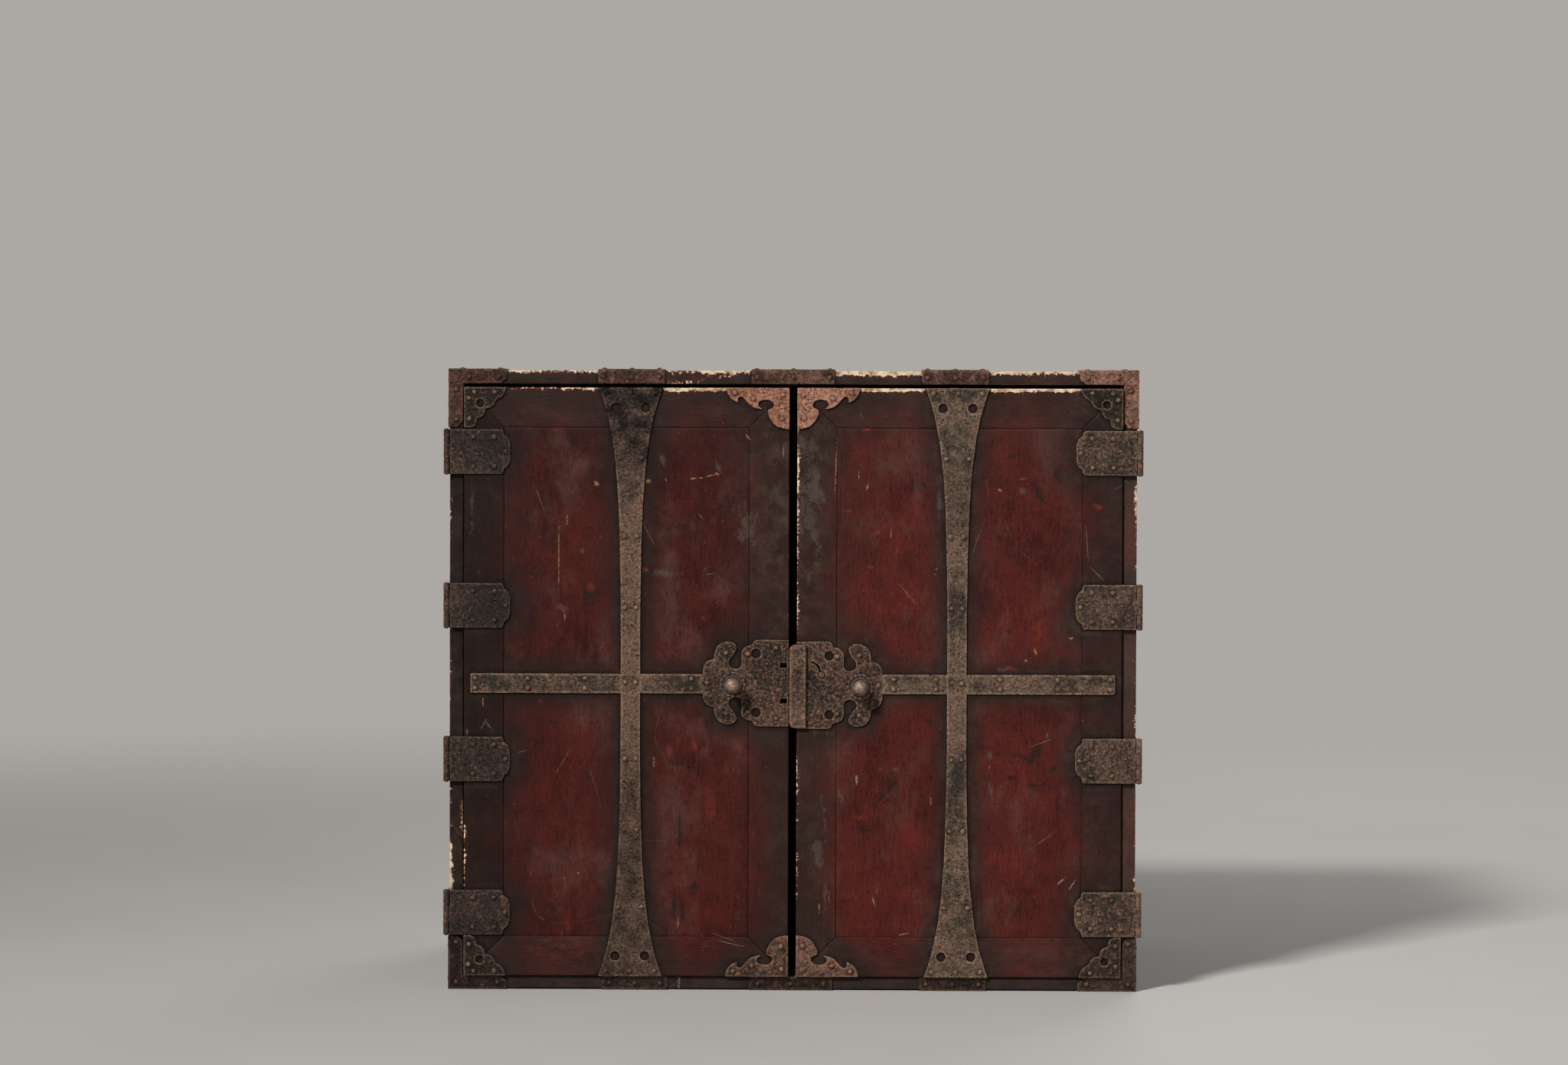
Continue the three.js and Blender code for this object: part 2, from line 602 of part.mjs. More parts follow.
function uprightBand() {
  const bandHeight = doorTop - doorBottom;
  const edge = [];
  for (let i = 0; i <= FLARE_STEPS; i += 1) {
    const t = FLARE_SPAN * (i / FLARE_STEPS) ** FLARE_CROWDING;
    edge.push([bandHalfWidth(t), doorBottom + t]);
  }
  const upper = edge.map(([x, z]) => [x, doorBottom + doorTop - z]).reverse();
  const rightEdge = [...edge, ...upper];
  const leftEdge = rightEdge.map(([x, z]) => [-x, z]).reverse();
  const flat = sheet(outlineOf([...rightEdge, ...leftEdge]), PLATE_IRON, doorFront);

  const nails = bandPairHeightShares.flatMap((share) => {
    const z = doorBottom + share * bandHeight;
    const x = bandHalfWidth(Math.min(share, 1 - share) * bandHeight) - BAND_NAIL_EDGE;
    return [[-x, z], [x, z]];
  });
  const ends = [doorBottom + BAND_ROW_INSET, doorTop - BAND_ROW_INSET];
  for (const z of ends) nails.push([-BAND_ROW_OFFSET, z], [0, z], [BAND_ROW_OFFSET, z]);
  const holes = [doorBottom + BAND_HOLE_INSET, doorTop - BAND_HOLE_INSET].flatMap((z) => [
    [-BAND_HOLE_OFFSET, z],
    [BAND_HOLE_OFFSET, z],
  ]);
  const lap = block(
    [-BAND_WIDTH, BAND_WIDTH],
    [doorFront - BAND_LAP, doorFront + OVERRUN],
    [LEVEL_BAND_MIDDLE - LEVEL_BAND_HEIGHT / 2 - FIT, LEVEL_BAND_MIDDLE + LEVEL_BAND_HEIGHT / 2 + FIT],
  );
  return nailed(pierced(flat, BAND_HOLE_RADIUS, holes), doorFront - PLATE_IRON, nails).subtract(lap);
}

// Level band: it runs from near the hinge edge to the lock plate, half-lapped under the upright one
const LEVEL_BAND_INSET = 9;
const LEVEL_NAIL_RISE = 6.3;
const levelNailShares = [0.02, 0.25, 0.5, 0.78, 0.965];

function levelBand(iron, lockPlate) {
  const from = PLATE_REACH - LEVEL_BAND_INSET;
  const to = doorOuter - LEVEL_BAND_INSET;
  const half = LEVEL_BAND_HEIGHT / 2;
  const face = doorFront - PLATE_IRON;
  const nails = levelNailShares
    .map((share) => to - share * (to - PLATE_REACH))
    .filter((x) => Math.abs(x - iron.band) > BAND_WIDTH)
    .flatMap((x) => [
      [x, LEVEL_BAND_MIDDLE - LEVEL_NAIL_RISE],
      [x, LEVEL_BAND_MIDDLE + LEVEL_NAIL_RISE],
    ]);
  const bar = block([from, to], [face, doorFront], [LEVEL_BAND_MIDDLE - half, LEVEL_BAND_MIDDLE + half]);
  const crossing = bandHalfWidth(FLARE_SPAN) + FIT;
  const lap = block(
    [iron.band - crossing, iron.band + crossing],
    [face - OVERRUN, doorFront - BAND_LAP + FIT],
    [LEVEL_BAND_MIDDLE - BAND_WIDTH, LEVEL_BAND_MIDDLE + BAND_WIDTH],
  );
  const clearances = [[FIT, 0, 0], [0, 0, FIT], [0, 0, -FIT], [-LEVEL_BAND_INSET, 0, 0]];
  const plates = clearances.map((shift) => lockPlate.translate(shift));
  return cutAll(nailed(bar, face, nails).subtract(lap), plates);
}

// Stepped plate on each outer corner of a door. The corner is the origin, and the plate runs to -x, -z.
const STEP_WIDTH = 55;
const STEP_PLATE_HOLE = 5.5;
const STEP_BULGE = 3.4;
const stepCuspShares = [
  [0.15, 1],
  [0.3, 0.78],
  [0.51, 0.53],
  [0.76, 0.32],
  [1, 0],
];
const stepHoleShare = [0.385, 0.4];
const stepNailShares = [
  [0.245, 0.12],
  [0.727, 0.12],
  [0.12, 0.28],
  [0.13, 0.78],
];

function stepPlate() {
  const place = ([u, v]) => [-u * STEP_WIDTH, -v * STEP_HEIGHT];
  const [first, ...cusps] = stepCuspShares.map(place);
  const shape = new THREE.Shape();
  shape.moveTo(0, 0);
  shape.lineTo(0, -STEP_HEIGHT);
  shape.lineTo(...first);
  for (const [x, z] of cusps) lobeTo(shape, x, z, -STEP_BULGE);
  shape.closePath();
  const flat = pierced(sheet(shape, PLATE_IRON), STEP_PLATE_HOLE, [place(stepHoleShare)]);
  return nailed(flat, -PLATE_IRON, stepNailShares.map(place));
}

// Scrolled plate on each inner corner of a door. The corner is the origin, and it runs to +x, -z.
const SCROLL_WIDTH = 82;
const SCROLL_HEIGHT = 54;
const scrollRunShares = [
  [[0.99, -0.1], [0.955, -0.21], [0.895, -0.3], [0.81, -0.36]],
  [[0.82, -0.27], [0.79, -0.22], [0.745, -0.225], [0.695, -0.3], [0.645, -0.39], [0.57, -0.475],
    [0.485, -0.505], [0.43, -0.51]],
  [[0.49, -0.44], [0.49, -0.36], [0.45, -0.307], [0.375, -0.29], [0.3, -0.307], [0.255, -0.37],
    [0.245, -0.445], [0.28, -0.5], [0.34, -0.533]],
  [[0.337, -0.635], [0.31, -0.73], [0.25, -0.86], [0.163, -0.955], [0.02, -1]],
];
const scrollNailShares = [
  [0.1, -0.17],
  [0.57, -0.26],
  [0.87, -0.13],
  [0.11, -0.74],
];

function scrollPlate() {
  const shape = new THREE.Shape();
  shape.moveTo(0, 0);
  shape.lineTo(SCROLL_WIDTH, 0);
  for (const shares of scrollRunShares) runThrough(shape, shares, SCROLL_WIDTH, SCROLL_HEIGHT);
  shape.lineTo(0, -SCROLL_HEIGHT);
  shape.closePath();
  const nails = scrollNailShares.map(([u, v]) => [u * SCROLL_WIDTH, v * SCROLL_HEIGHT]);
  return nailed(sheet(shape, PLATE_IRON, 0, COARSE_CURVE_STEPS), -PLATE_IRON, nails);
}

// Lock plate: a body next to the meeting edge, and scrolled arms and a lobe beyond it.
// The outline is written for the upper half, and the lower half is its reflection.
const PLATE_REACH = 121.8;
const PLATE_HALF = 56.7;
const PLATE_HOLE_RADIUS = 6.5;
const plateRunShares = [
  [[0.369, 1], [0.411, 0.96], [0.43, 0.88]],
  [[0.495, 0.845], [0.54, 0.757], [0.551, 0.645]],
  [[0.548, 0.44], [0.566, 0.356], [0.607, 0.325], [0.654, 0.355], [0.684, 0.423], [0.683, 0.519],
    [0.643, 0.63], [0.607, 0.757], [0.603, 0.85], [0.636, 0.93], [0.695, 0.955], [0.76, 0.92],
    [0.812, 0.832], [0.838, 0.674], [0.842, 0.56]],
  [[0.892, 0.525], [0.937, 0.459], [0.961, 0.325], [0.963, 0.199], [0.969, 0.072], [1, 0]],
];
const plateHoleShares = [0.392, 0.68];
const plateNailShares = [
  [0.48, 0.665],
  [0.715, 0.69],
];
const TIP_NAIL_X = 111.8;
const EDGE_NAIL_X = 21.6;
const edgeNailShare = 0.81;
const SLOT_LENGTH = 9;
const SLOT_HEIGHT = 6.6;
const SLOT_INSET = 2.2;

// Places in the upper half of a plate, together with their reflections in the lower half
function bothHalves(iron, places) {
  return places.flatMap(([x, rise]) => [[x, iron.lock + rise], [x, iron.lock - rise]]);
}

function lockPlateBlank(iron) {
  const shape = new THREE.Shape();
  shape.moveTo(doorInner, -FIT);
  shape.lineTo(doorInner, PLATE_HALF);
  for (const shares of plateRunShares) runThrough(shape, shares, PLATE_REACH, PLATE_HALF);
  shape.closePath();
  const upper = sheet(shape, PLATE_IRON, doorFront, COARSE_CURVE_STEPS);
  const blank = upper.add(upper.mirror([0, 0, 1])).translate([0, 0, iron.lock]);
  return blank.subtract(knobHole(iron));
}

function lockPlate(iron, blank, nailsByEdge) {
  const [holeU, holeV] = plateHoleShares;
  const holes = bothHalves(iron, [[holeU * PLATE_REACH, holeV * PLATE_HALF]]);
  const nails = bothHalves(iron, plateNailShares.map(([u, v]) => [u * PLATE_REACH, v * PLATE_HALF]));
  nails.push([TIP_NAIL_X, iron.lock]);
  if (nailsByEdge) nails.push(...bothHalves(iron, [[EDGE_NAIL_X, edgeNailShare * PLATE_HALF]]));
  return nailed(pierced(blank, PLATE_HOLE_RADIUS, holes), doorFront - PLATE_IRON, nails);
}

// The left plate has two slots in which the thrown prongs show
function slottedLockPlate(blank) {
  const x0 = doorInner + SLOT_INSET;
  const half = SLOT_HEIGHT / 2;
  return prongHeights.reduce((plate, rise) => {
    const middle = boltMiddle + rise;
    const slot = [[x0, x0 + SLOT_LENGTH], [-CASE_DEPTH, CASE_DEPTH], [middle - half, middle + half]];
    return plate.subtract(block(...slot));
  }, lockPlate(leftIron, blank, true));
}

// The right plate has the keyhole: a ring round the post, and a crooked slot for the key's bit
function keyedLockPlate(blank) {
  const ring = frontBar(KEY_POST_X, keyPostZ, KEYHOLE_RADIUS, [-CASE_DEPTH, CASE_DEPTH]);
  const run = keySlotShares.map(([u, v]) => [KEY_POST_X + u * KEY_SLOT_RUN, keyPostZ + v * KEY_SLOT_RISE]);
  let plate = lockPlate(rightIron, blank, false).subtract(ring);
  for (let i = 1; i < run.length; i += 1) {
    const [[ax, az], [bx, bz]] = [run[i - 1], run[i]];
    const length = Math.hypot(bx - ax, bz - az) + KEY_SLOT_WIDTH / 2;
    const cut = new THREE.BoxGeometry(length, CASE_DEPTH, KEY_SLOT_WIDTH);
    cut.rotateY(-Math.atan2(bz - az, bx - ax));
    cut.translate((ax + bx) / 2, 0, (az + bz) / 2);
    plate = plate.subtract(solidOf(cut));
  }
  return plate;
}

// Cover strip: a rounded bar on the right plate that hides the gap between the doors
const STRIP_WIDTH = 22;
const STRIP_HALF = 54.7;
const STRIP_DROP = 1.5;
const STRIP_THICKNESS = 5;
const STRIP_CORNER = 6;
const STRIP_BEVEL = 1.8;
const STRIP_OVERHANG = 9.5;

function coverStrip() {
  const w = STRIP_WIDTH - 2 * STRIP_BEVEL;
  const h = STRIP_HALF - STRIP_BEVEL;
  const r = STRIP_CORNER;
  const shape = new THREE.Shape();
  shape.moveTo(r, -h);
  shape.lineTo(w, -h);
  shape.lineTo(w, h);
  shape.lineTo(r, h);
  shape.quadraticCurveTo(0, h, 0, h - r);
  shape.lineTo(0, r - h);
  shape.quadraticCurveTo(0, -h, r, -h);
  const bar = new THREE.ExtrudeGeometry(shape, {
    depth: STRIP_THICKNESS - STRIP_BEVEL,
    bevelThickness: STRIP_BEVEL,
    bevelSize: STRIP_BEVEL,
    bevelSegments: COARSE_CURVE_STEPS,
    curveSegments: CURVE_STEPS,
  });
  bar.rotateX(Math.PI / 2);
  const plateFace = doorFront - PLATE_IRON;
  const solid = solidOf(bar).translate([0, plateFace, 0]);
  return solid
    .trimByPlane([0, -1, 0], -plateFace)
    .translate([doorInner - STRIP_OVERHANG + STRIP_BEVEL, 0, rightLockHeight - STRIP_DROP]);
}

// Knob: a ball on a neck over a scalloped rosette, with a shank clinched behind the door
const KNOB_DROP = 2;
const SHANK_RADIUS = 4;
const CLINCH_RADIUS = 8;
const CLINCH_HEIGHT = 1.2;
const BALL_RADIUS = 10.6;
const NECK_RADIUS = 6;
const ROSETTE_RADIUS = 16.6;
const ROSETTE_HEIGHT = 2.6;
const ROSETTE_LOBES = 16;
const POINTS_PER_LOBE = 3;
const LOBE_DEPTH = 1.3;
const BEAD_RING_RADIUS = 12.4;
const BEAD_RING_HEIGHT = 4.4;
const BALL_STEPS = 8;

function knobHole(iron) {
  return frontBar(iron.knobX, iron.lock - KNOB_DROP, SHANK_RADIUS + FIT, [-CASE_DEPTH, CASE_DEPTH]);
}

function knob() {
  const ballCentre = KNOB_PROJECTION - BALL_RADIUS;
  const backOfDoor = -PLATE_IRON - DOOR_THICKNESS;
  const profile = [
    [0, backOfDoor - CLINCH_HEIGHT],
    [CLINCH_RADIUS, backOfDoor - CLINCH_HEIGHT],
    [CLINCH_RADIUS, backOfDoor],
    [SHANK_RADIUS, backOfDoor],
    [SHANK_RADIUS, 0],
    [BEAD_RING_RADIUS, 0],
    [BEAD_RING_RADIUS, ROSETTE_HEIGHT],
    [BEAD_RING_RADIUS - LOBE_DEPTH, BEAD_RING_HEIGHT],
    [NECK_RADIUS, BEAD_RING_HEIGHT],
  ];
  const start = Math.asin(NECK_RADIUS / BALL_RADIUS);
  for (let i = 0; i <= BALL_STEPS; i += 1) {
    const angle = start + ((Math.PI - start) * i) / BALL_STEPS;
    const radius = i === BALL_STEPS ? 0 : BALL_RADIUS * Math.sin(angle);
    profile.push([radius, ballCentre - BALL_RADIUS * Math.cos(angle)]);
  }
  const points = profile.map(([r, h]) => new THREE.Vector2(r, h));
  const body = new THREE.LatheGeometry(points, ROUND_SIDES);
  body.rotateX(Math.PI);

  const petals = [];
  const petalPoints = ROSETTE_LOBES * POINTS_PER_LOBE;
  for (let i = 0; i < petalPoints; i += 1) {
    const angle = (2 * Math.PI * i) / petalPoints;
    const radius = ROSETTE_RADIUS - (i % POINTS_PER_LOBE === 0 ? LOBE_DEPTH : 0);
    petals.push([radius * Math.cos(angle), radius * Math.sin(angle)]);
  }
  const rosette = sheet(outlineOf(petals), ROSETTE_HEIGHT);
  const shankHole = frontBar(0, 0, SHANK_RADIUS, [-CASE_DEPTH, CASE_DEPTH]);
  return solidOf(body).add(rosette.subtract(shankHole));
}

function addDoorIron(group, iron, plate, blank) {
  const { side, band, lock, knobX } = iron;
  const plateFace = doorFront - PLATE_IRON;
  addMesh(group, `upright_band_${side}`, uprightBand(), rustIron, band);
  addMesh(group, `level_band_${side}`, levelBand(iron, blank), rustIron);
  const step = stepPlate();
  const scroll = scrollPlate();
  const flip = [0, 0, 1];
  const top = [doorFront, doorTop];
  const bottom = [doorFront, doorBottom];
  addMesh(group, `step_plate_top_${side}`, step, darkIron, doorOuter, ...top);
  addMesh(group, `step_plate_bottom_${side}`, step.mirror(flip), darkIron, doorOuter, ...bottom);
  addMesh(group, `scroll_plate_top_${side}`, scroll, rustIron, doorInner, ...top);
  addMesh(group, `scroll_plate_bottom_${side}`, scroll.mirror(flip), darkIron, doorInner, ...bottom);
  addMesh(group, `lock_plate_${side}`, plate, darkIron);
  addMesh(group, `knob_${side}`, knob(), rustIron, knobX, plateFace, lock - KNOB_DROP);
  addHingeLeaves(group, side, "door_leaf", doorLeaf(), darkIron);
}

// Assembly
const chest = new THREE.Group();
const caseGroup = new THREE.Group();
const rightDoor = new THREE.Group();
const leftDoor = new THREE.Group();
const rightSide = new THREE.Group();
const leftSide = new THREE.Group();
leftDoor.scale.x = -1;
leftSide.scale.x = -1;
for (const group of [caseGroup, rightDoor, leftDoor, rightSide, leftSide]) {
  group.position.y = caseFront;
  chest.add(group);
}

addCase(caseGroup);
addCornerIrons(caseGroup);
addTopStraps(caseGroup);
addHingeLeaves(rightSide, "right", "case_leaf", caseLeaf(), darkIron);
addHingeLeaves(leftSide, "left", "case_leaf", caseLeaf(), darkIron);

const leftBlank = lockPlateBlank(leftIron);
const rightBlank = lockPlateBlank(rightIron);
const leftChannels = prongChannels(doorInner + SLOT_INSET + SLOT_LENGTH + SLOT_INSET);
const rightChannels = prongChannels(POCKET_FROM + OVERRUN);
addDoorWood(leftDoor, leftIron, leftChannels);
addDoorWood(rightDoor, rightIron, [...rightChannels, lockPocket(), keyPostHole()]);
addDoorIron(leftDoor, leftIron, slottedLockPlate(leftBlank), leftBlank);
addDoorIron(rightDoor, rightIron, keyedLockPlate(rightBlank), rightBlank);
addMesh(rightDoor, "lock_cover_strip", coverStrip(), darkIron);
addMesh(rightDoor, "lock_bolt", lockBolt(), darkIron);
addMesh(rightDoor, "lock_key_post", keyPost(), darkIron);

export default chest;
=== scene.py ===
# %% [markdown]
# # An old two-door sea chest
#
# The chest is a box of lacquered boards with two framed doors, and nearly all of it is bound
# in wrought iron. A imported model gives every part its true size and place. This lesson puts
# the age on it: lacquer that went black round the iron, arrises worn to bare wood, and
# plates that rust has pitted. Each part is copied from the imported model, refined, and given a
# material made of noise patterns, so nothing here is painted by hand or read from a picture.

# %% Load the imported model
import json
import math
import random

import bmesh
import bpy
import numpy as np
from mathutils import Matrix, Vector, noise
from mathutils.bvhtree import BVHTree

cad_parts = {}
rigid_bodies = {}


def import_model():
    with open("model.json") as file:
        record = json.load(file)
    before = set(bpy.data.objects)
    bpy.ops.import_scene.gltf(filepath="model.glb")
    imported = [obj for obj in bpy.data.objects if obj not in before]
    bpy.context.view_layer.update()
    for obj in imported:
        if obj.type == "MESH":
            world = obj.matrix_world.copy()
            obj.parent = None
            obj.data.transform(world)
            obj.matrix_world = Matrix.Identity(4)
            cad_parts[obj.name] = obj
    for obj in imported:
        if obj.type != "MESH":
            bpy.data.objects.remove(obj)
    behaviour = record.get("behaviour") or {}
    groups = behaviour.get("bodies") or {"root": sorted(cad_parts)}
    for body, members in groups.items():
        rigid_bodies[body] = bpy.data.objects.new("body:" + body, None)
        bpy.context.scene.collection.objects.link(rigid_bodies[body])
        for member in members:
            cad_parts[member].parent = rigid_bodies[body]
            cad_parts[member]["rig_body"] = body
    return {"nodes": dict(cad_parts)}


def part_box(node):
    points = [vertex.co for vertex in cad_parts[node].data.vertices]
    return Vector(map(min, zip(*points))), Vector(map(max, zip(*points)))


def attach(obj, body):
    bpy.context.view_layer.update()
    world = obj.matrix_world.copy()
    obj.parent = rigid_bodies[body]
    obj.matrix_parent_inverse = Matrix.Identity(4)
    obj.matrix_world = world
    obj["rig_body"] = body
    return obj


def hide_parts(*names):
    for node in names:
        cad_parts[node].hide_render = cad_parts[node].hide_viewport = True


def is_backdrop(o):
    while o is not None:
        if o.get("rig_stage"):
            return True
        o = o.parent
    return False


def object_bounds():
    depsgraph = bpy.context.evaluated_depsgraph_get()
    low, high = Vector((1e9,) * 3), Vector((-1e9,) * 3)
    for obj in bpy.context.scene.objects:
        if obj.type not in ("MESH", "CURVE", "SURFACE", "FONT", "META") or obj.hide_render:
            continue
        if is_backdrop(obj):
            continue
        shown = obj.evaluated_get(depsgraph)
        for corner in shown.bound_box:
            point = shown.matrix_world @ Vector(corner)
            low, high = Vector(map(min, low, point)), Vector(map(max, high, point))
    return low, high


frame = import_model()
cad_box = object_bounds()
nodes = frame["nodes"]
MM = 0.001
print("the packed model has", len(nodes), "parts, and is", [round(v, 4) for v in cad_box[1] - cad_box[0]])

# %% [markdown]
# ## The camera
#
# A camera that stands where the reference picture was taken from makes the two comparable. Its
# place was worked out from the four front corners of the chest, whose sizes are known. It is a
# long lens about 4.3 metres from the doors, so both sides of the chest are hidden.

# %% The camera
CAMERA_PLACE = Vector((0.0227, -4.576, 0.6875))
CAMERA_PITCH = math.radians(-1.15)
CAMERA_YAW = math.radians(-0.454)
CAMERA_ROLL = math.radians(0.172)
LENS = 76.64

ahead = Vector((
    math.sin(CAMERA_YAW) * math.cos(CAMERA_PITCH),
    math.cos(CAMERA_YAW) * math.cos(CAMERA_PITCH),
    math.sin(CAMERA_PITCH),
))
level = Vector((math.cos(CAMERA_YAW), -math.sin(CAMERA_YAW), 0))
above = level.cross(ahead)
right = level * math.cos(CAMERA_ROLL) + above * math.sin(CAMERA_ROLL)
up = above * math.cos(CAMERA_ROLL) - level * math.sin(CAMERA_ROLL)
turn = Matrix((right, up, -ahead)).transposed()

camera = bpy.data.objects.new("camera", bpy.data.cameras.new("camera"))
camera.matrix_world = Matrix.Translation(CAMERA_PLACE) @ turn.to_4x4()
camera.data.lens = LENS
camera.data.clip_end = 60
bpy.context.scene.collection.objects.link(camera)
bpy.context.scene.camera = camera
front_middle = Vector((0, cad_box[0].y, cad_box[1].z / 2))
print("the camera is", round((CAMERA_PLACE - front_middle).length, 2), "m away")

# %% [markdown]
# ## Recipes for materials
#
# A material in Blender is a small machine of nodes. Typing every node by hand soon hides the
# idea, so these helpers add a node, set its inputs and join it in one line. The value of an
# input is either a number or the output of another node, and an output knows its own tree.

# %% Helpers that add nodes


def srgb(red, green, blue):
    """A colour as it is read from a screen, 0 to 255, in the linear values that nodes use."""
    parts = [value / 255 for value in (red, green, blue)]
    return (*[p / 12.92 if p <= 0.04045 else ((p + 0.055) / 1.055) ** 2.4 for p in parts], 1.0)


def join(output, target):
    output.id_data.links.new(output, target)


def set_inputs(node, inputs):
    for key, value in inputs.items():
        if isinstance(value, bpy.types.NodeSocket):
            join(value, node.inputs[key])
        else:
            node.inputs[key].default_value = value


def add_node(tree, kind, inputs, **settings):
    node = tree.nodes.new(kind)
    for name, value in settings.items():
        setattr(node, name, value)
    set_inputs(node, inputs)
    return node


def tree_with(*values):
    """The tree of the first value that is the output of a node."""
    return next(value.id_data for value in values if isinstance(value, bpy.types.NodeSocket))


def maths(operation, a, b=0.0):
    return add_node(tree_with(a, b), "ShaderNodeMath", {0: a, 1: b}, operation=operation).outputs[0]


def plus(a, b):
    return maths("ADD", a, b)


def minus(a, b):
    return maths("SUBTRACT", a, b)


def times(a, b):
    return maths("MULTIPLY", a, b)


def weighted(a, share_of_a, b, share_of_b):
    return plus(times(a, share_of_a), times(b, share_of_b))


def past(value, middle, factor):
    """How far a value is past its middle, times a factor."""
    return times(minus(value, middle), factor)


def ease(value, low, high, to_low=0.0, to_high=1.0):
    """Runs smoothly from to_low to to_high while value goes from low to high."""
    inputs = {"Value": value, "From Min": low, "From Max": high, "To Min": to_low, "To Max": to_high}
    return add_node(value.id_data, "ShaderNodeMapRange", inputs, interpolation_type="SMOOTHSTEP").outputs[0]


def mix(factor, a, b):
    inputs = {0: factor, 6: a, 7: b}
    return add_node(factor.id_data, "ShaderNodeMix", inputs, data_type="RGBA", clamp_factor=True).outputs[2]


def tint(colour, mask, share, red, green, blue):
    """The colour with a share of another one, as it is read from a screen, where the mask is 1."""
    return mix(times(mask, share), colour, srgb(red, green, blue))


print("a screen red of 84, 38, 34 is", [round(v, 3) for v in srgb(84, 38, 34)[:3]])

# %% Helpers for patterns and materials


def speckle(vector, scale, detail=4.0, roughness=0.6, distortion=0.0):
    inputs = {
        "Vector": vector, "Scale": scale, "Detail": detail,
        "Roughness": roughness, "Distortion": distortion,
    }
    return add_node(vector.id_data, "ShaderNodeTexNoise", inputs).outputs[0]


def stretched(vector, scale):
    return add_node(vector.id_data, "ShaderNodeMapping", {"Vector": vector, "Scale": scale}).outputs[0]


def attribute(tree, name):
    return add_node(tree, "ShaderNodeAttribute", {}, attribute_name=name).outputs["Fac"]


def new_group(name, inputs, outputs):
    """A shader node group. Inputs are name, kind and value, and outputs are name and kind."""
    group = bpy.data.node_groups.new(name, "ShaderNodeTree")
    for title, kind, value in inputs:
        socket = group.interface.new_socket(title, in_out="INPUT", socket_type="NodeSocket" + kind)
        if value is not None:
            socket.default_value = value
    for title, kind in outputs:
        group.interface.new_socket(title, in_out="OUTPUT", socket_type="NodeSocket" + kind)
    source = group.nodes.new("NodeGroupInput").outputs
    sink = group.nodes.new("NodeGroupOutput").inputs
    return group, source, sink


def use_group(group, inputs):
    node = tree_with(*inputs.values()).nodes.new("ShaderNodeGroup")
    node.node_tree = group
    set_inputs(node, inputs)
    return node.outputs


def new_material(name):
    """A material with its tree, its shader, and the place of every point in metres."""
    material = bpy.data.materials.new(name)
    material.use_nodes = True
    tree = material.node_tree
    place = add_node(tree, "ShaderNodeTexCoord", {}).outputs["Object"]
    return material, tree, tree.nodes["Principled BSDF"], place


def finish_shader(shader, colour, roughness, height, depth, strength):
    """Joins a colour and a roughness to the shader, and a height as relief of some depth."""
    inputs = {"Height": height, "Distance": depth, "Strength": strength}
    bump = add_node(shader.id_data, "ShaderNodeBump", inputs)
    join(colour, shader.inputs["Base Color"])
    join(roughness, shader.inputs["Roughness"])
    join(bump.outputs[0], shader.inputs["Normal"])


print("helpers for noise, groups and materials are ready")

# %% [markdown]
# ## Wood grain, chips and scratches
#
# Four effects come back in the wooden parts. Grain is noise that is squeezed across the
# board, so it draws long streaks. A chip is where worn lacquer has come off: noise is added to
# a wear value stored in the mesh, and a sharp threshold gives the ragged border. A scratch is
# the thin line along which a slow noise passes its middle value, and a fleck is the middle of
# a cell that drew a high enough lot. Each one is a node group.

# %% Grain group
grain_group, source, sink = new_group(
    "wood_grain",
    [("Vector", "Vector", None), ("Width", "Float", 90.0)],
    [("Streaks", "Float"), ("Fibres", "Float")],
)
streaks = speckle(source["Vector"], source["Width"], detail=7, roughness=0.66, distortion=0.3)
fine = speckle(source["Vector"], times(source["Width"], 3), detail=3)
join(ease(streaks, 0.3, 0.72), sink["Streaks"])
join(ease(weighted(streaks, 0.55, fine, 0.45), 0.36, 0.66), sink["Fibres"])
print("wood grain:", len(grain_group.nodes), "nodes")

# %% Chip group
chip_group, source, sink = new_group(
    "chipped_lacquer",
    [("Vector", "Vector", None), ("Wear", "Float", 0.0), ("Size", "Float", 130.0)],
    [("Bare", "Float"), ("Rim", "Float")],
)
ragged = speckle(source["Vector"], source["Size"], detail=5, roughness=0.62)
eaten = plus(source["Wear"], past(ragged, 0.5, 1.5))
join(ease(eaten, 0.50, 0.54), sink["Bare"])
join(ease(eaten, 0.36, 0.48), sink["Rim"])
print("chipped lacquer:", len(chip_group.nodes), "nodes")

# %% Scratch group
scratch_group, source, sink = new_group(
    "scratches",
    [
        ("Vector", "Vector", None), ("Scale", "Float", 5.0),
        ("Width", "Float", 0.002), ("Share", "Float", 0.6),
    ],
    [("Lines", "Float")],
)
slow = speckle(source["Vector"], source["Scale"], detail=1, roughness=0.3)
line = maths("LESS_THAN", maths("ABSOLUTE", minus(slow, 0.5)), source["Width"])
present = speckle(source["Vector"], times(source["Scale"], 2.7), detail=3)
shown = ease(present, source["Share"], plus(source["Share"], 0.05))
join(times(line, shown), sink["Lines"])
print("scratches:", len(scratch_group.nodes), "nodes")

# %% Fleck group
fleck_group, source, sink = new_group(
    "flecks",
    [
        ("Vector", "Vector", None), ("Scale", "Float", 60.0),
        ("Size", "Float", 0.15), ("Share", "Float", 0.8),
    ],
    [("Flecks", "Float")],
)
cells = add_node(fleck_group, "ShaderNodeTexVoronoi", {"Vector": source["Vector"], "Scale": source["Scale"]})
lots = add_node(fleck_group, "ShaderNodeSeparateColor", {"Color": cells.outputs["Color"]}).outputs
picked = maths("GREATER_THAN", lots[0], source["Share"])
dot = maths("LESS_THAN", cells.outputs["Distance"], times(source["Size"], lots[1]))
join(times(dot, picked), sink["Flecks"])
print("flecks:", len(fleck_group.nodes), "nodes")

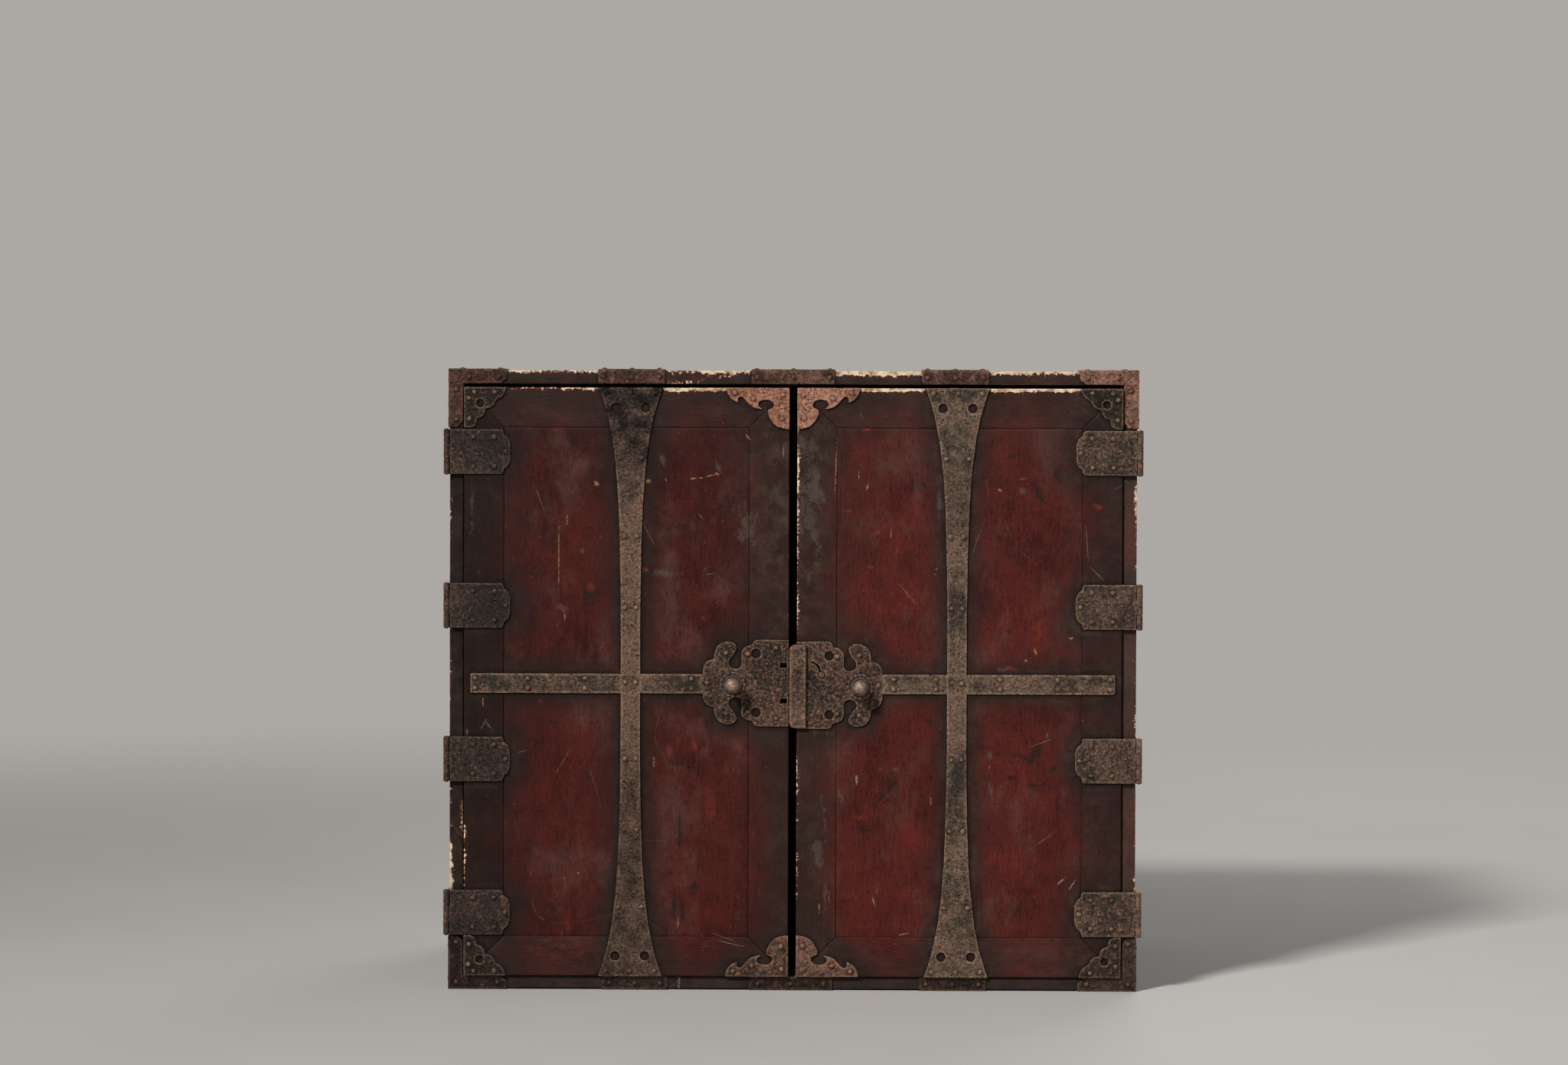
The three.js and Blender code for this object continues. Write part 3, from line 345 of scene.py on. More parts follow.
# %% [markdown]
# ## Marks at known places
#
# Some marks are too plain to leave to chance, such as the long pale scratch on the left door.
# An oval stands for each. The distance to the nearest oval, made uneven with noise and eased,
# is a mask. Every oval waits for the one before it, although it takes nothing from it, because
# the renderer would otherwise work them all out at once and run out of room.

# %% Marks at known places
FARTHEST = 9.0


def marks(vector, ragged, table):
    """A mask of long ovals at x, z in millimetres, with half their length and width, and their tilt."""
    tree = vector.id_data
    start = add_node(tree, "ShaderNodeValue", {})
    start.outputs[0].default_value = FARTHEST
    nearest = start.outputs[0]
    for x, z, half_length, half_width, tilt in table:
        waited = add_node(tree, "ShaderNodeVectorMath", {0: nearest, 1: (0, 0, 0), 2: vector},
                          operation="MULTIPLY_ADD")
        oval = add_node(tree, "ShaderNodeMapping", {
            "Vector": waited.outputs[0],
            "Location": (x * MM, 0, z * MM),
            "Rotation": (0, math.radians(tilt), 0),
            "Scale": (half_length * MM, FARTHEST, half_width * MM),
        }, vector_type="TEXTURE")
        distance = add_node(tree, "ShaderNodeVectorMath", {0: oval.outputs[0]}, operation="LENGTH")
        nearest = maths("MINIMUM", nearest, distance.outputs["Value"])
    return ease(plus(nearest, ragged), 0.5, 1.3, 1.0, 0.0)


print("a mark runs from full at 0.5 of its oval to nothing at 1.3")

# %% [markdown]
# ## Pitted iron
#
# Old wrought iron has a dark skin, brown and orange rust where the skin has gone, and dust in
# the hollows. Slow noise decides where each lies, quick noise breaks it into grains, and the
# same pattern drives the height, so the colour and the pits agree. The rims and nail heads,
# which hands and cloths have rubbed, are lighter. Painted shade blackens the iron round the foot
# of each nail and in the hollows of a knob. The mesh stores where they are.

# %% Pitted iron group
iron_group, source, sink = new_group(
    "pitted_iron",
    [
        ("Vector", "Vector", None), ("Skin", "Color", srgb(58, 50, 44)),
        ("Rust", "Color", srgb(118, 78, 58)), ("Dust", "Color", srgb(120, 96, 74)),
        ("Black", "Color", srgb(20, 16, 14)), ("Rubbed", "Color", srgb(168, 134, 112)),
        ("Rust Share", "Float", 0.5), ("Dust Share", "Float", 0.5), ("Patch", "Float", 95.0),
        ("Rim", "Float", 0.0), ("Dirt And Shade", "Float", 0.0),
    ],
    [("Color", "Color"), ("Roughness", "Float"), ("Metallic", "Float"), ("Height", "Float")],
)
place = source["Vector"]
wide = speckle(place, 13.0)
clouds = speckle(place, times(source["Patch"], 0.6), detail=9, roughness=0.7)
crust = speckle(place, source["Patch"], detail=9, roughness=0.74, distortion=0.4)
grit = speckle(place, 680.0, detail=3, roughness=0.7)
grains = speckle(place, 250.0, roughness=0.65)
dust_limit = minus(0.61, times(source["Dust Share"], 0.34))
dusty = ease(weighted(wide, 0.5, clouds, 0.5), dust_limit, plus(dust_limit, 0.15))
rust_limit = minus(0.61, times(source["Rust Share"], 0.24))
rusty = ease(weighted(wide, 0.18, crust, 0.82), rust_limit, plus(rust_limit, 0.09))
pit_cells = add_node(iron_group, "ShaderNodeTexVoronoi", {"Vector": place, "Scale": 310.0})
pit_depth = ease(pit_cells.outputs["Distance"], 0.16, 0.4, 1.0, 0.0)
pits = times(pit_depth, ease(speckle(place, 60.0, roughness=0.65), 0.45, 0.56))

colour = mix(dusty, source["Skin"], source["Dust"])
colour = mix(times(rusty, 0.85), colour, source["Rust"])
colour = mix(times(pits, 0.95), colour, source["Black"])
shade = times(ease(grit, 0.3, 0.7, 0.68, 1.34), ease(grains, 0.32, 0.68, 0.6, 1.42))
shaded = add_node(iron_group, "ShaderNodeVectorMath", {0: colour, "Scale": shade}, operation="SCALE")
rubbed = times(source["Rim"], ease(grains, 0.35, 0.6, 0.3, 1.0))
colour = mix(times(rubbed, 0.5), shaded.outputs[0], source["Rubbed"])
# Blackens where the mesh says: painted shade round each nail's foot and in the knobs' hollows, and darker
# patches on the bands
colour = mix(times(source["Dirt And Shade"], ease(grains, 0.3, 0.7, 0.9, 0.6)), colour, source["Black"])
height = plus(weighted(grains, 0.45, grit, 0.2), times(crust, 0.5))
join(colour, sink["Color"])
join(minus(ease(grains, 0.2, 0.8, 0.76, 0.56), times(rubbed, 0.12)), sink["Roughness"])
join(times(minus(1.0, rusty), 0.24), sink["Metallic"])
join(minus(height, times(pits, 0.45)), sink["Height"])
print("pitted iron:", len(iron_group.nodes), "nodes")

# %% The irons


def iron(name, skin, rust, dust, rubbed, rust_share, dust_share, patch=95.0, relief=0.0023, shine=0.16):
    """Iron of four colours, each as it is read from a screen. Patch is how many spots go in a metre."""
    material, tree, shader, place = new_material("wrought_" + name)
    made = use_group(iron_group, {
        "Vector": place, "Skin": srgb(*skin), "Rust": srgb(*rust), "Dust": srgb(*dust),
        "Rubbed": srgb(*rubbed), "Rust Share": rust_share, "Dust Share": dust_share, "Patch": patch,
        "Rim": attribute(tree, "rim"), "Dirt And Shade": attribute(tree, "dirt_and_shade"),
    })
    finish_shader(shader, made["Color"], made["Roughness"], made["Height"], relief, 0.9)
    join(made["Metallic"], shader.inputs["Metallic"])
    shader.inputs["Specular IOR Level"].default_value = shine
    return material


REDDISH, BROWN, TAN, DARK = (150, 112, 95), (118, 86, 73), (172, 138, 112), (130, 103, 87)
BRIGHT = (190, 158, 134)
# corner_left and corner_right, and hinge_left and hinge_right, are one iron at two levels: the left copy in
# painted shade, the right in painted light. low_right is dark made lighter the same way, for the right lower
# corner
IRONS = {
    "corner_left": ((54, 34, 27), (94, 61, 49), (78, 53, 44), BROWN, 0.55, 0.5),
    "corner_right": ((92, 63, 51), (142, 101, 84), (122, 88, 74), REDDISH, 0.55, 0.5),
    "strap": ((64, 43, 35), (112, 78, 64), (88, 63, 53), BROWN, 0.5, 0.5),
    "band_left": ((62, 50, 42), (116, 85, 68), (104, 82, 68), TAN, 0.4, 0.66, 120),
    "band_right": ((58, 50, 42), (122, 91, 72), (102, 84, 70), TAN, 0.42, 0.6, 120),
    "band_level": ((52, 45, 38), (118, 87, 69), (96, 78, 65), TAN, 0.42, 0.5, 120),
    "lock": ((42, 35, 30), (120, 86, 70), (70, 56, 47), TAN, 0.54, 0.5, 260),
    "hinge_left": ((42, 35, 30), (104, 72, 58), (56, 46, 40), DARK, 0.36, 0.5, 230),
    "hinge_right": ((54, 46, 39), (130, 92, 75), (88, 72, 60), TAN, 0.42, 0.5, 210),
    "scroll": ((136, 94, 73), (168, 120, 96), (156, 112, 90), REDDISH, 0.55, 0.5),
    "scroll_low": ((50, 39, 32), (130, 91, 75), (92, 68, 56), TAN, 0.52, 0.5, 150),
    "step": ((32, 26, 23), (96, 68, 57), (56, 45, 39), TAN, 0.4, 0.45, 200),
    "knob": ((58, 43, 35), (108, 79, 64), (84, 64, 52), BRIGHT, 0.5, 0.5, 190, 0.0008, 0.6),
    "strip": ((68, 54, 45), (128, 93, 76), (100, 80, 67), TAN, 0.45, 0.55, 180),
    "dark": ((34, 24, 20), (68, 46, 38), (50, 37, 31), DARK, 0.4, 0.45),
    "low_right": ((46, 34, 28), (76, 54, 45), (64, 47, 39), DARK, 0.45, 0.5),
}
irons = {name: iron(name, *look) for name, look in IRONS.items()}
print("irons:", list(irons))

# %% [markdown]
# ## Lacquer and old wood
#
# The doors are red lacquer that soot and handling turned nearly black round the iron and near
# every edge, and painted shade darkens them further towards the top and on the left. The mesh
# stores how black each point is, soot and painted shade together, how worn it is, how much pale
# dust lies on the soot, with painted light on the right door, and a black line of painted shadow
# beside each plate, because a material alone can't know where the iron is. Streaks of grain show
# through the red. The same recipe with fewer reds makes the case. The tables give the plainest
# marks of the doors, and those that are only just visible.

# %% Where the marks of the doors are
# Each mark is x, z, half its length, half its width and its tilt in degrees
RED_MARKS = [
    (-339, 722, 4, 3, 20), (-305, 732, 8, 1.6, 5), (-265, 528, 8, 4, 80), (-117, 488, 4, 3, 0),
    (-194, 551, 3, 2, 0), (-330, 379, 3, 3, 0), (-160, 311, 10, 3, 90), (-128, 320, 6, 3, 80),
    (71, 628, 9, 2, 5), (110, 601, 4.5, 3, 10), (133, 497, 3, 2, 0), (101, 555, 3, 2.5, 40),
    (96, 735, 4, 2.5, 10), (93, 228, 11, 4, 5), (396, 635, 5, 3, 30), (-388, 265, 8, 0.9, 25),
    (282, 424, 10, 3, 15),
]
FAINT_RED_MARKS = [
    (-108, 250, 24, 6, 86), (153, 207, 26, 14, 70), (-294, 88, 16, 4, 88), (150, 240, 60, 2, 90),
    (158, 230, 50, 1.5, 90), (144, 225, 45, 1.2, 90), (-70, 318, 12, 4, 60),
]
TAN_MARKS = [
    (-306, 565, 40, 0.7, 90), (-257, 663, 5, 2.6, 70), (-190, 667, 4, 2.8, 20), (-131, 670, 4, 1.3, -10),
    (-120, 671, 3, 1.1, -5), (-108, 674, 6, 1.2, -14), (-99, 676, 3, 1.8, 30), (-166, 668, 2.2, 1.2, 60),
    (-405, 377, 6, 0.9, 88), (-298, 147, 2, 1, 60),
    (-280, 153, 1.8, 1.4, 0), (-149, 89, 6, 0.9, 92), (-59, 724, 5, 1.5, 50), (56, 690, 34, 0.9, 92),
    (128, 599, 8, 0.8, 90), (270, 656, 2.4, 2, 30), (185, 546, 2.2, 1, 60), (187, 553, 1.6, 1, 0),
    (363, 463, 3.4, 1.6, 5), (317, 445, 5, 1.6, 70), (305, 434, 2, 1.8, 0), (107, 117, 6, 1.4, 70),
    (352, 145, 6, 1.4, -40), (367, 141, 9, 0.9, -55), (147, 75, 7, 0.9, -12),
    (84, 277, 8, 1.6, 84), (97, 660, 5, 1, -70),
]
SCRATCH_MARKS = [
    (300, 671, 7, 0.9, -8), (384, 585, 27, 0.8, 86), (396, 548, 16, 0.8, 45), (-120, 620, 5, 0.9, 50),
    (325, 326, 20, 0.8, -20), (-82, 62, 24, 0.9, 13), (-90, 70, 20, 0.8, 20), (-404, 348, 8, 1.1, -64),
    (-398, 347, 7, 1.1, 52), (-190, 600, 26, 0.8, 62), (-110, 545, 8, 0.9, -8), (240, 590, 30, 0.7, -70),
    (150, 520, 22, 0.7, 48), (-300, 300, 18, 0.7, -60), (330, 200, 24, 0.7, -35), (-330, 640, 20, 0.7, 70),
]
DARK_MARKS = [
    (-282, 513, 9, 2.4, 14), (-265, 518, 8, 5, 10), (-266, 605, 10, 2.6, 4), (-266, 494, 7, 2, 10),
    (-162, 621, 30, 1.8, 27), (-125, 586, 3, 1.6, 60), (-244, 705, 2, 1.6, 0), (-147, 206, 26, 1.4, 90),
    (-143, 108, 24, 1.8, 88), (-155, 112, 24, 6, 82), (-134, 134, 16, 4.5, -12), (-273, 218, 6, 4, 10),
    (171, 661, 5, 2.4, 50), (253, 576, 3, 1.8, 10), (107, 451, 3, 3, 0), (320, 650, 9, 4, 60),
    (301, 307, 12, 4.5, 18), (320, 315, 16, 5.5, -52), (342, 291, 9, 5, -20), (321, 270, 12, 3, -8),
    (281, 262, 3.4, 2.4, 60), (92, 210, 6, 5, 30), (80, 630, 14, 1.8, 80), (62, 640, 40, 1.1, 92),
    (345, 672, 9, 3, 70), (112, 470, 12, 3, 20), (-152, 262, 20, 1.2, 82), (120, 255, 34, 1.3, -50),
]
GREY_MARKS = [
    (-304, 501, 9, 4, 10), (-275, 576, 5, 3.5, 40), (-168, 546, 13, 4.5, 5), (-172, 695, 8, 3.5, 70),
    (-97, 684, 9, 2.6, 72), (-60, 610, 26, 16, 70), (191, 644, 16, 4, 80), (276, 422, 9, 4, 5),
    (111, 132, 5.5, 5.5, 0), (135, 290, 4, 3.4, 0), (117, 291, 3, 3, 0), (42, 222, 22, 3.4, 86),
    (44, 123, 18, 3, 92), (30, 190, 24, 9, 80), (20, 640, 70, 16, 90), (300, 655, 6, 4, 0),
    (258, 310, 6, 4, 80), (260, 260, 14, 3, 88), (-420, 640, 30, 4, 90), (62, 260, 14, 4, 70),
]
MARK_TABLES = (RED_MARKS, FAINT_RED_MARKS, TAN_MARKS, SCRATCH_MARKS, DARK_MARKS, GREY_MARKS)
print("marks at known places:", [len(table) for table in MARK_TABLES])

# %% [markdown]
# ## Reds, soot and damage
#
# The red of the doors runs in streaks along the grain, clouds over in places and is cracked all
# over. One noise can't give such a mixture, so several of different sizes are added up, and the
# sum chooses between three reds. Soot, flecks, scratches and marks follow as thin layers. Each
# is mixed over what lies below it by a mask of its own, as dirt and damage lie on a real door.

# %% Grain, reds and soot
VERTICAL = (1.0, 1.0, 0.1)
LEVEL = (0.1, 1.0, 1.0)


def drawn_out(place, run, least):
    """The place, stretched along the grain so that a pattern grows longer by up to 1 / least."""
    return stretched(place, [max(part, least) for part in run])


def red_ground(place, run, grain, mottle, cloud, deep, red, bright):
    """Three reds in streaks and clouds, with pale dust and fine dark cracks."""
    drawn = speckle(drawn_out(place, run, 0.16), 60.0, detail=5)
    tone = weighted(grain["Streaks"], 0.14, grain["Fibres"], 0.18)
    tone = plus(tone, ease(mottle, 0.34, 0.68, 0.1, 0.36))
    tone = plus(tone, ease(drawn, 0.35, 0.66, 0.03, 0.09))
    tone = plus(tone, ease(cloud, 0.34, 0.66, -0.08, 0.16))
    tone = plus(tone, ease(speckle(place, 330.0, detail=3), 0.3, 0.7, -0.1, 0.12))
    colour = mix(ease(tone, 0.12, 0.6), deep, red)
    colour = mix(ease(tone, 0.6, 0.98), colour, bright)
    dusty = ease(speckle(drawn_out(place, run, 0.62), 15.0, detail=8, roughness=0.7), 0.48, 0.68)
    colour = tint(colour, dusty, 0.65, 92, 62, 55)
    crack = ease(speckle(drawn_out(place, run, 0.17), 560.0, detail=2), 0.58, 0.65)
    return tint(colour, crack, 0.72, 30, 20, 18)


def lay_soot_and_shade(colour, place, grain, cloud, soot_and_shade):
    """Blackens the colour with soot and painted shade where the mesh says so, and returns it with how dark it
    is.
    """
    tree = place.id_data
    blotch = speckle(place, 14.0, detail=8, roughness=0.72)
    spread = plus(past(blotch, 0.5, 1.1), past(grain["Fibres"], 0.5, 0.25))
    spread = plus(spread, past(cloud, 0.5, 0.5))
    soot_and_shade_share = ease(plus(attribute(tree, "soot_and_shade"), spread), 0.05, 0.95)
    grey = ease(speckle(place, 38.0, detail=9, roughness=0.76), 0.42, 0.64)
    # Pale grey over the soot: dust, and where the right door gets more of it, painted light
    tone = mix(times(grey, attribute(tree, "pale_dust_and_light")), soot_and_shade, srgb(82, 71, 61))
    tone = tint(tone, grain["Fibres"], 0.35, 30, 23, 21)
    return mix(times(soot_and_shade_share, 0.88), colour, tone), soot_and_shade_share


print("the place is scaled by", VERTICAL, "for upright grain and by", LEVEL, "for level grain")

# %% Flecks, scratches and marks


def small_flecks(vector, scale, size, share):
    made = use_group(fleck_group, {"Vector": vector, "Scale": scale, "Size": size, "Share": share})
    return made["Flecks"]


def scatter_damage(colour, place, rough_dot):
    """Hair scratches, red nicks, dents and pale nicks. It returns the colour and the dents."""
    hair = use_group(scratch_group, {"Vector": place, "Scale": 5.3, "Width": 0.0008, "Share": 0.56})
    leaning = add_node(place.id_data, "ShaderNodeMapping", {
        "Vector": place, "Rotation": (0.0, 0.6, 0.0), "Scale": (1.0, 1.0, 0.16)}).outputs[0]
    nick = small_flecks(leaning, 75.0, 0.13, 0.8)
    red_nick = small_flecks(place, 88.0, 0.17, 0.86)
    dent = small_flecks(stretched(place, (0.6, 1.0, 1.0)), 46.0, 0.16, 0.82)
    broken = ease(rough_dot, 0.4, 0.52)
    colour = tint(colour, hair["Lines"], 0.35, 120, 98, 88)
    colour = tint(colour, times(red_nick, broken), 0.4, 136, 54, 44)
    colour = tint(colour, times(dent, broken), 0.75, 34, 27, 25)
    colour = tint(colour, times(nick, broken), 0.5, 150, 124, 104)
    return colour, dent


def place_marks(colour, dug, place, area, mottle, rough_dot):
    """Lays the marks of one area, table by table. The dark ones are dug into the wood as well."""
    fringe = past(rough_dot, 0.44, 2.6)
    soft_fringe = plus(past(mottle, 0.47, 7.0), past(rough_dot, 0.5, 2.0))
    for table, edge, share, shade in (
        (RED_MARKS, soft_fringe, 0.46, (132, 48, 38)), (GREY_MARKS, soft_fringe, 0.32, (104, 93, 84)),
        (FAINT_RED_MARKS, soft_fringe, 0.28, (126, 44, 36)), (DARK_MARKS, soft_fringe, 0.75, (36, 30, 27)),
        (SCRATCH_MARKS, fringe, 0.42, (128, 112, 102)), (TAN_MARKS, fringe, 0.62, (172, 130, 98)),
    ):
        here = [mark for mark in table if area(mark[0], mark[1])]
        if not here:
            continue
        mask = marks(place, edge, here)
        colour = tint(colour, mask, share, *shade)
        if table is DARK_MARKS:
            dug = maths("MAXIMUM", dug, mask)
    return colour, dug


print("flecks, scratches and marks each lay their own colour over the reds")

# %% [markdown]
# ## Down to the wood
#
# Chips come after the soot, the painted shade and the marks, because where the lacquer is gone
# its dirt is gone as well. Only the black line beside a plate, a painted shadow, is laid over
# them. A chip shows wood, pale with darker grain, inside a thin red rim. The same mask lowers the
# chip in the relief and makes it duller, so that light as well as colour tells it apart.

# %% Lacquer recipe
BARE_PALE = srgb(232, 213, 182)
BARE_DARK = srgb(158, 116, 82)


def lacquer(name, run, tones, lightness, gloss=0.46, chips=230.0, area=None):
    """Lacquer in four tones, three reds and the soot, which also gives the painted shade, with the marks of
    one area of the doors.
    """
    material, tree, shader, place = new_material(name)
    deep, red, bright, soot_and_shade = [srgb(*[part * lightness for part in tone]) for tone in tones]
    grain = use_group(grain_group, {"Vector": stretched(place, run), "Width": 330.0})
    half_run = drawn_out(place, run, 0.62)
    cloud = speckle(place, 6.5)
    mottle = speckle(half_run, 42.0, detail=8, roughness=0.72)
    rough_dot = speckle(place, 420.0, detail=2)
    colour = red_ground(place, run, grain, mottle, cloud, deep, red, bright)
    colour, soot_and_shade_share = lay_soot_and_shade(colour, place, grain, cloud, soot_and_shade)
    colour, dug = scatter_damage(colour, place, rough_dot)
    if area:
        colour, dug = place_marks(colour, dug, place, area, mottle, rough_dot)

    chip = use_group(chip_group, {"Vector": place, "Wear": attribute(tree, "wear"), "Size": chips})
    under = tint(colour, chip["Rim"], 0.7, 118, 44, 34)
    wood_tone = ease(speckle(half_run, 150.0, detail=5, roughness=0.7), 0.36, 0.58)
    wood = mix(times(wood_tone, ease(grain["Fibres"], 0.0, 0.6, 0.6, 1.0)), BARE_DARK, BARE_PALE)
    colour = mix(chip["Bare"], under, wood)
    # Painted shadow: a black line on the wood beside each plate
    plate_shadow = times(attribute(tree, "plate_shadow"), ease(mottle, 0.35, 0.65, 0.95, 0.7))
    colour = mix(plate_shadow, colour, srgb(20, 17, 16))

    height = minus(weighted(grain["Fibres"], 0.5, mottle, 0.7), times(chip["Bare"], 0.8))
    height = minus(height, times(dug, 0.6))
    dull = plus(ease(mottle, 0.3, 0.7, gloss - 0.07, gloss + 0.12), times(chip["Bare"], 0.3))
    finish_shader(shader, colour, plus(dull, times(soot_and_shade_share, 0.08)), height, 0.0007, 0.8)
    shader.inputs["Specular IOR Level"].default_value = 0.08
    return material


print("bare wood under the lacquer runs from", BARE_DARK[0], "to", BARE_PALE[0], "in its red")

# %% Lacquer of the doors and the case
DOOR_REDS = [(52, 21, 19), (84, 33, 28), (122, 47, 39), (41, 32, 28)]
CASE_REDS = [(38, 27, 24), (62, 38, 32), (104, 42, 32), (42, 35, 31)]
# The left panel and the left stile are darker than the right ones, as painted shade
DOOR_LACQUERS = {
    "left_panel": (VERTICAL, 0.9, lambda x, z: -384 < x < -50 and 66 < z),
    "right_panel": (VERTICAL, 1.0, lambda x, z: 50 < x < 384 and 66 < z),
    "meeting": (VERTICAL, 1.0, lambda x, z: abs(x) < 66),
    "left_stile": (VERTICAL, 0.74, lambda x, z: x < -370),
    "right_stile": (VERTICAL, 0.92, lambda x, z: x > 370),
    "level": (LEVEL, 1.0, lambda x, z: z < 92),
}
door_red = {
    name: lacquer("door_lacquer_" + name, run, DOOR_REDS, lightness, area=area)
    for name, (run, lightness, area) in DOOR_LACQUERS.items()
}
# The left side of the case is darker and the right side lighter, as painted shade and painted light
case_dark = {
    name: lacquer("case_lacquer_" + name, run, CASE_REDS, lightness, gloss=0.5, chips=260.0)
    for name, run, lightness in (("left", VERTICAL, 0.74), ("right", VERTICAL, 1.42), ("level", LEVEL, 1.0))
}
print("lacquers:", list(door_red), "on the doors and", list(case_dark), "on the case")

# %% [markdown]
# ## Unlacquered wood
#
# The inside and the back were never lacquered. A wide face is made of boards glued edge to
# edge. Counting the boards across gives each its own number, and white noise turns that into
# a tone and a shift of the grain, so no two boards are alike and a fine dark line parts them.

# %% Unlacquered wood
BOARD = 0.165
JOINT_OUTER = 0.0009
JOINT_INNER = 0.0004
INSIDE = (srgb(176, 142, 104), srgb(146, 110, 76), srgb(92, 66, 47))
OUTSIDE = (srgb(126, 103, 81), srgb(100, 78, 60), srgb(58, 46, 38))


def glued_boards(place, along, run):
    """The grain's place, shifted from board to board, each board's own lot, and the joints."""
    tree = place.id_data
    across = add_node(tree, "ShaderNodeVectorMath", {0: place, 1: [float(part == 1.0) for part in run]},
                      operation="DOT_PRODUCT").outputs["Value"]
    count = plus(maths("DIVIDE", across, BOARD), 20.3)
    own = add_node(tree, "ShaderNodeTexWhiteNoise", {"W": maths("FLOOR", count)},
                   noise_dimensions="1D").outputs["Value"]
    from_middle = maths("ABSOLUTE", minus(maths("FRACT", count), 0.5))
    joint = ease(from_middle, 0.5 - JOINT_OUTER / BOARD, 0.5 - JOINT_INNER / BOARD)
    shifted = add_node(tree, "ShaderNodeVectorMath", {0: along, 1: times(own, 7.0)}, operation="ADD")
    return shifted.outputs["Vector"], own, joint


def old_wood(name, run, tones, boards):
    """Bare wood, in one piece, or of boards of one width glued edge to edge."""
    pale, brown, dark = tones
    material, tree, shader, place = new_material(name)
    along = stretched(place, [part if part == 1.0 else 0.045 for part in run])
    if boards:
        along, own, joint = glued_boards(place, along, run)
    grain = use_group(grain_group, {"Vector": along, "Width": 130.0})
    growth = speckle(along, 17.0, detail=2, roughness=0.4, distortion=0.5)
    bands = maths("FRACT", times(growth, 9.0))
    stain = ease(speckle(place, 9.0, detail=5, roughness=0.65), 0.42, 0.72)
    colour = mix(times(ease(bands, 0.2, 1.0), 0.6), pale, brown)
    colour = mix(ease(grain["Fibres"], 0.1, 0.6, 0.38, 0.0), colour, dark)
    if boards:
        colour = mix(times(own, 0.32), colour, brown)
    colour = mix(times(stain, 0.35), colour, dark)
    colour = mix(ease(attribute(tree, "soot_and_shade"), 0.1, 1.0, 0.0, 0.5), colour, dark)
    height = plus(grain["Fibres"], times(bands, 0.3))
    if boards:
        colour = tint(colour, joint, 0.85, 34, 25, 19)
        height = minus(height, joint)
    finish_shader(shader, colour, ease(grain["Streaks"], 0.0, 1.0, 0.74, 0.6), height, 0.0004, 0.7)
    return material


inner_upright = old_wood("inner_wood_upright", VERTICAL, INSIDE, boards=True)
inner_level = old_wood("inner_wood_level", LEVEL, INSIDE, boards=True)
frame_upright = old_wood("inner_frame_upright", VERTICAL, INSIDE, boards=False)
frame_level = old_wood("inner_frame_level", LEVEL, INSIDE, boards=False)
back_wood = old_wood("back_wood", LEVEL, OUTSIDE, boards=True)
print("old wood, inside and behind:", [
    m.name for m in (inner_upright, inner_level, frame_upright, frame_level, back_wood)])

# %% [markdown]
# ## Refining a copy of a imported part
#
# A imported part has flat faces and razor-sharp arrises. A real board or plate has neither, so
# each copy gets its doubles merged, its sharp edges rounded with a small bevel, and its faces
# cut into a grid by planes. The grid gives the mesh enough points to carry the soot and wear
# values and a slight unevenness. Cutting with planes keeps every outline exactly as it was.

# %% Copy, bevel and cut
# A point as near as this to a plane lies on it
ON_PLANE = 0.000002
BEVEL_STEPS = 2
ALL_AXES = (0, 1, 2)


def towards(axis, sign=1):
    """A unit vector along x, y or z, for an axis of 0, 1 or 2."""
    return Vector((axis == 0, axis == 1, axis == 2)) * sign


def copy_of(name):
    bm = bmesh.new()
    bm.from_mesh(nodes[name].data)
    bmesh.ops.remove_doubles(bm, verts=bm.verts, dist=0.000005)
    simplify(bm)
    return bm


def simplify(bm):
    bmesh.ops.dissolve_limit(bm, angle_limit=math.radians(0.5), verts=bm.verts, edges=bm.edges)


def sharp_edges(bm, least=30):
    limit = math.radians(least)
    return [e for e in bm.edges if len(e.link_faces) == 2 and e.calc_face_angle(0) > limit]


def round_edges(bm, width, edges):
    bmesh.ops.bevel(bm, geom=edges, offset=width, segments=BEVEL_STEPS, profile=0.5,
                    affect="EDGES", clamp_overlap=True, material=-1)


def all_of(bm):
    return [*bm.verts, *bm.edges, *bm.faces]


def parts_of(faces):
    """The faces with their edges and vertices, each once and in a fixed order."""
    edges = dict.fromkeys(e for f in faces for e in f.edges)
    verts = dict.fromkeys(v for f in faces for v in f.verts)
    return [*verts, *edges, *faces]


def steps_between(low, high, count):
    return [low + (high - low) * i / count for i in range(1, count)]


def cut_across(bm, axis, places, faces=None):
    """Cuts all faces, or some, with planes across one axis, from the lowest place to the highest."""
    direction = towards(axis)
    ahead = list(faces or bm.faces)
    for place in places:
        cut = bmesh.ops.bisect_plane(
            bm, geom=parts_of(ahead), dist=ON_PLANE, plane_co=direction * place, plane_no=direction)
        ahead = [f for f in cut["geom"] if isinstance(f, bmesh.types.BMFace)
                 and max(v.co[axis] for v in f.verts) > place + 0.00001]


def grid_cut(bm, spacing):
    for axis in ALL_AXES:
        low = min(v.co[axis] for v in bm.verts)
        high = max(v.co[axis] for v in bm.verts)
        cut_across(bm, axis, steps_between(low, high, max(1, round((high - low) / spacing))))


def slice_off(bm, axis, place, sign):
    """Removes what lies beyond a plane on one axis, on the side that sign gives, and closes the cut."""
    outward = towards(axis, sign)
    cut = bmesh.ops.bisect_plane(bm, geom=all_of(bm), dist=ON_PLANE / 2, plane_co=towards(axis) * place,
                                 plane_no=outward, clear_outer=True)
    rim = [e for e in cut["geom_cut"] if isinstance(e, bmesh.types.BMEdge)]
    bmesh.ops.triangle_fill(bm, edges=rim, use_beauty=True, normal=outward)
    return rim


trial = copy_of("lock_bolt")
print("the bolt has", len(sharp_edges(trial)), "sharp edges before they are rounded")
trial.free()

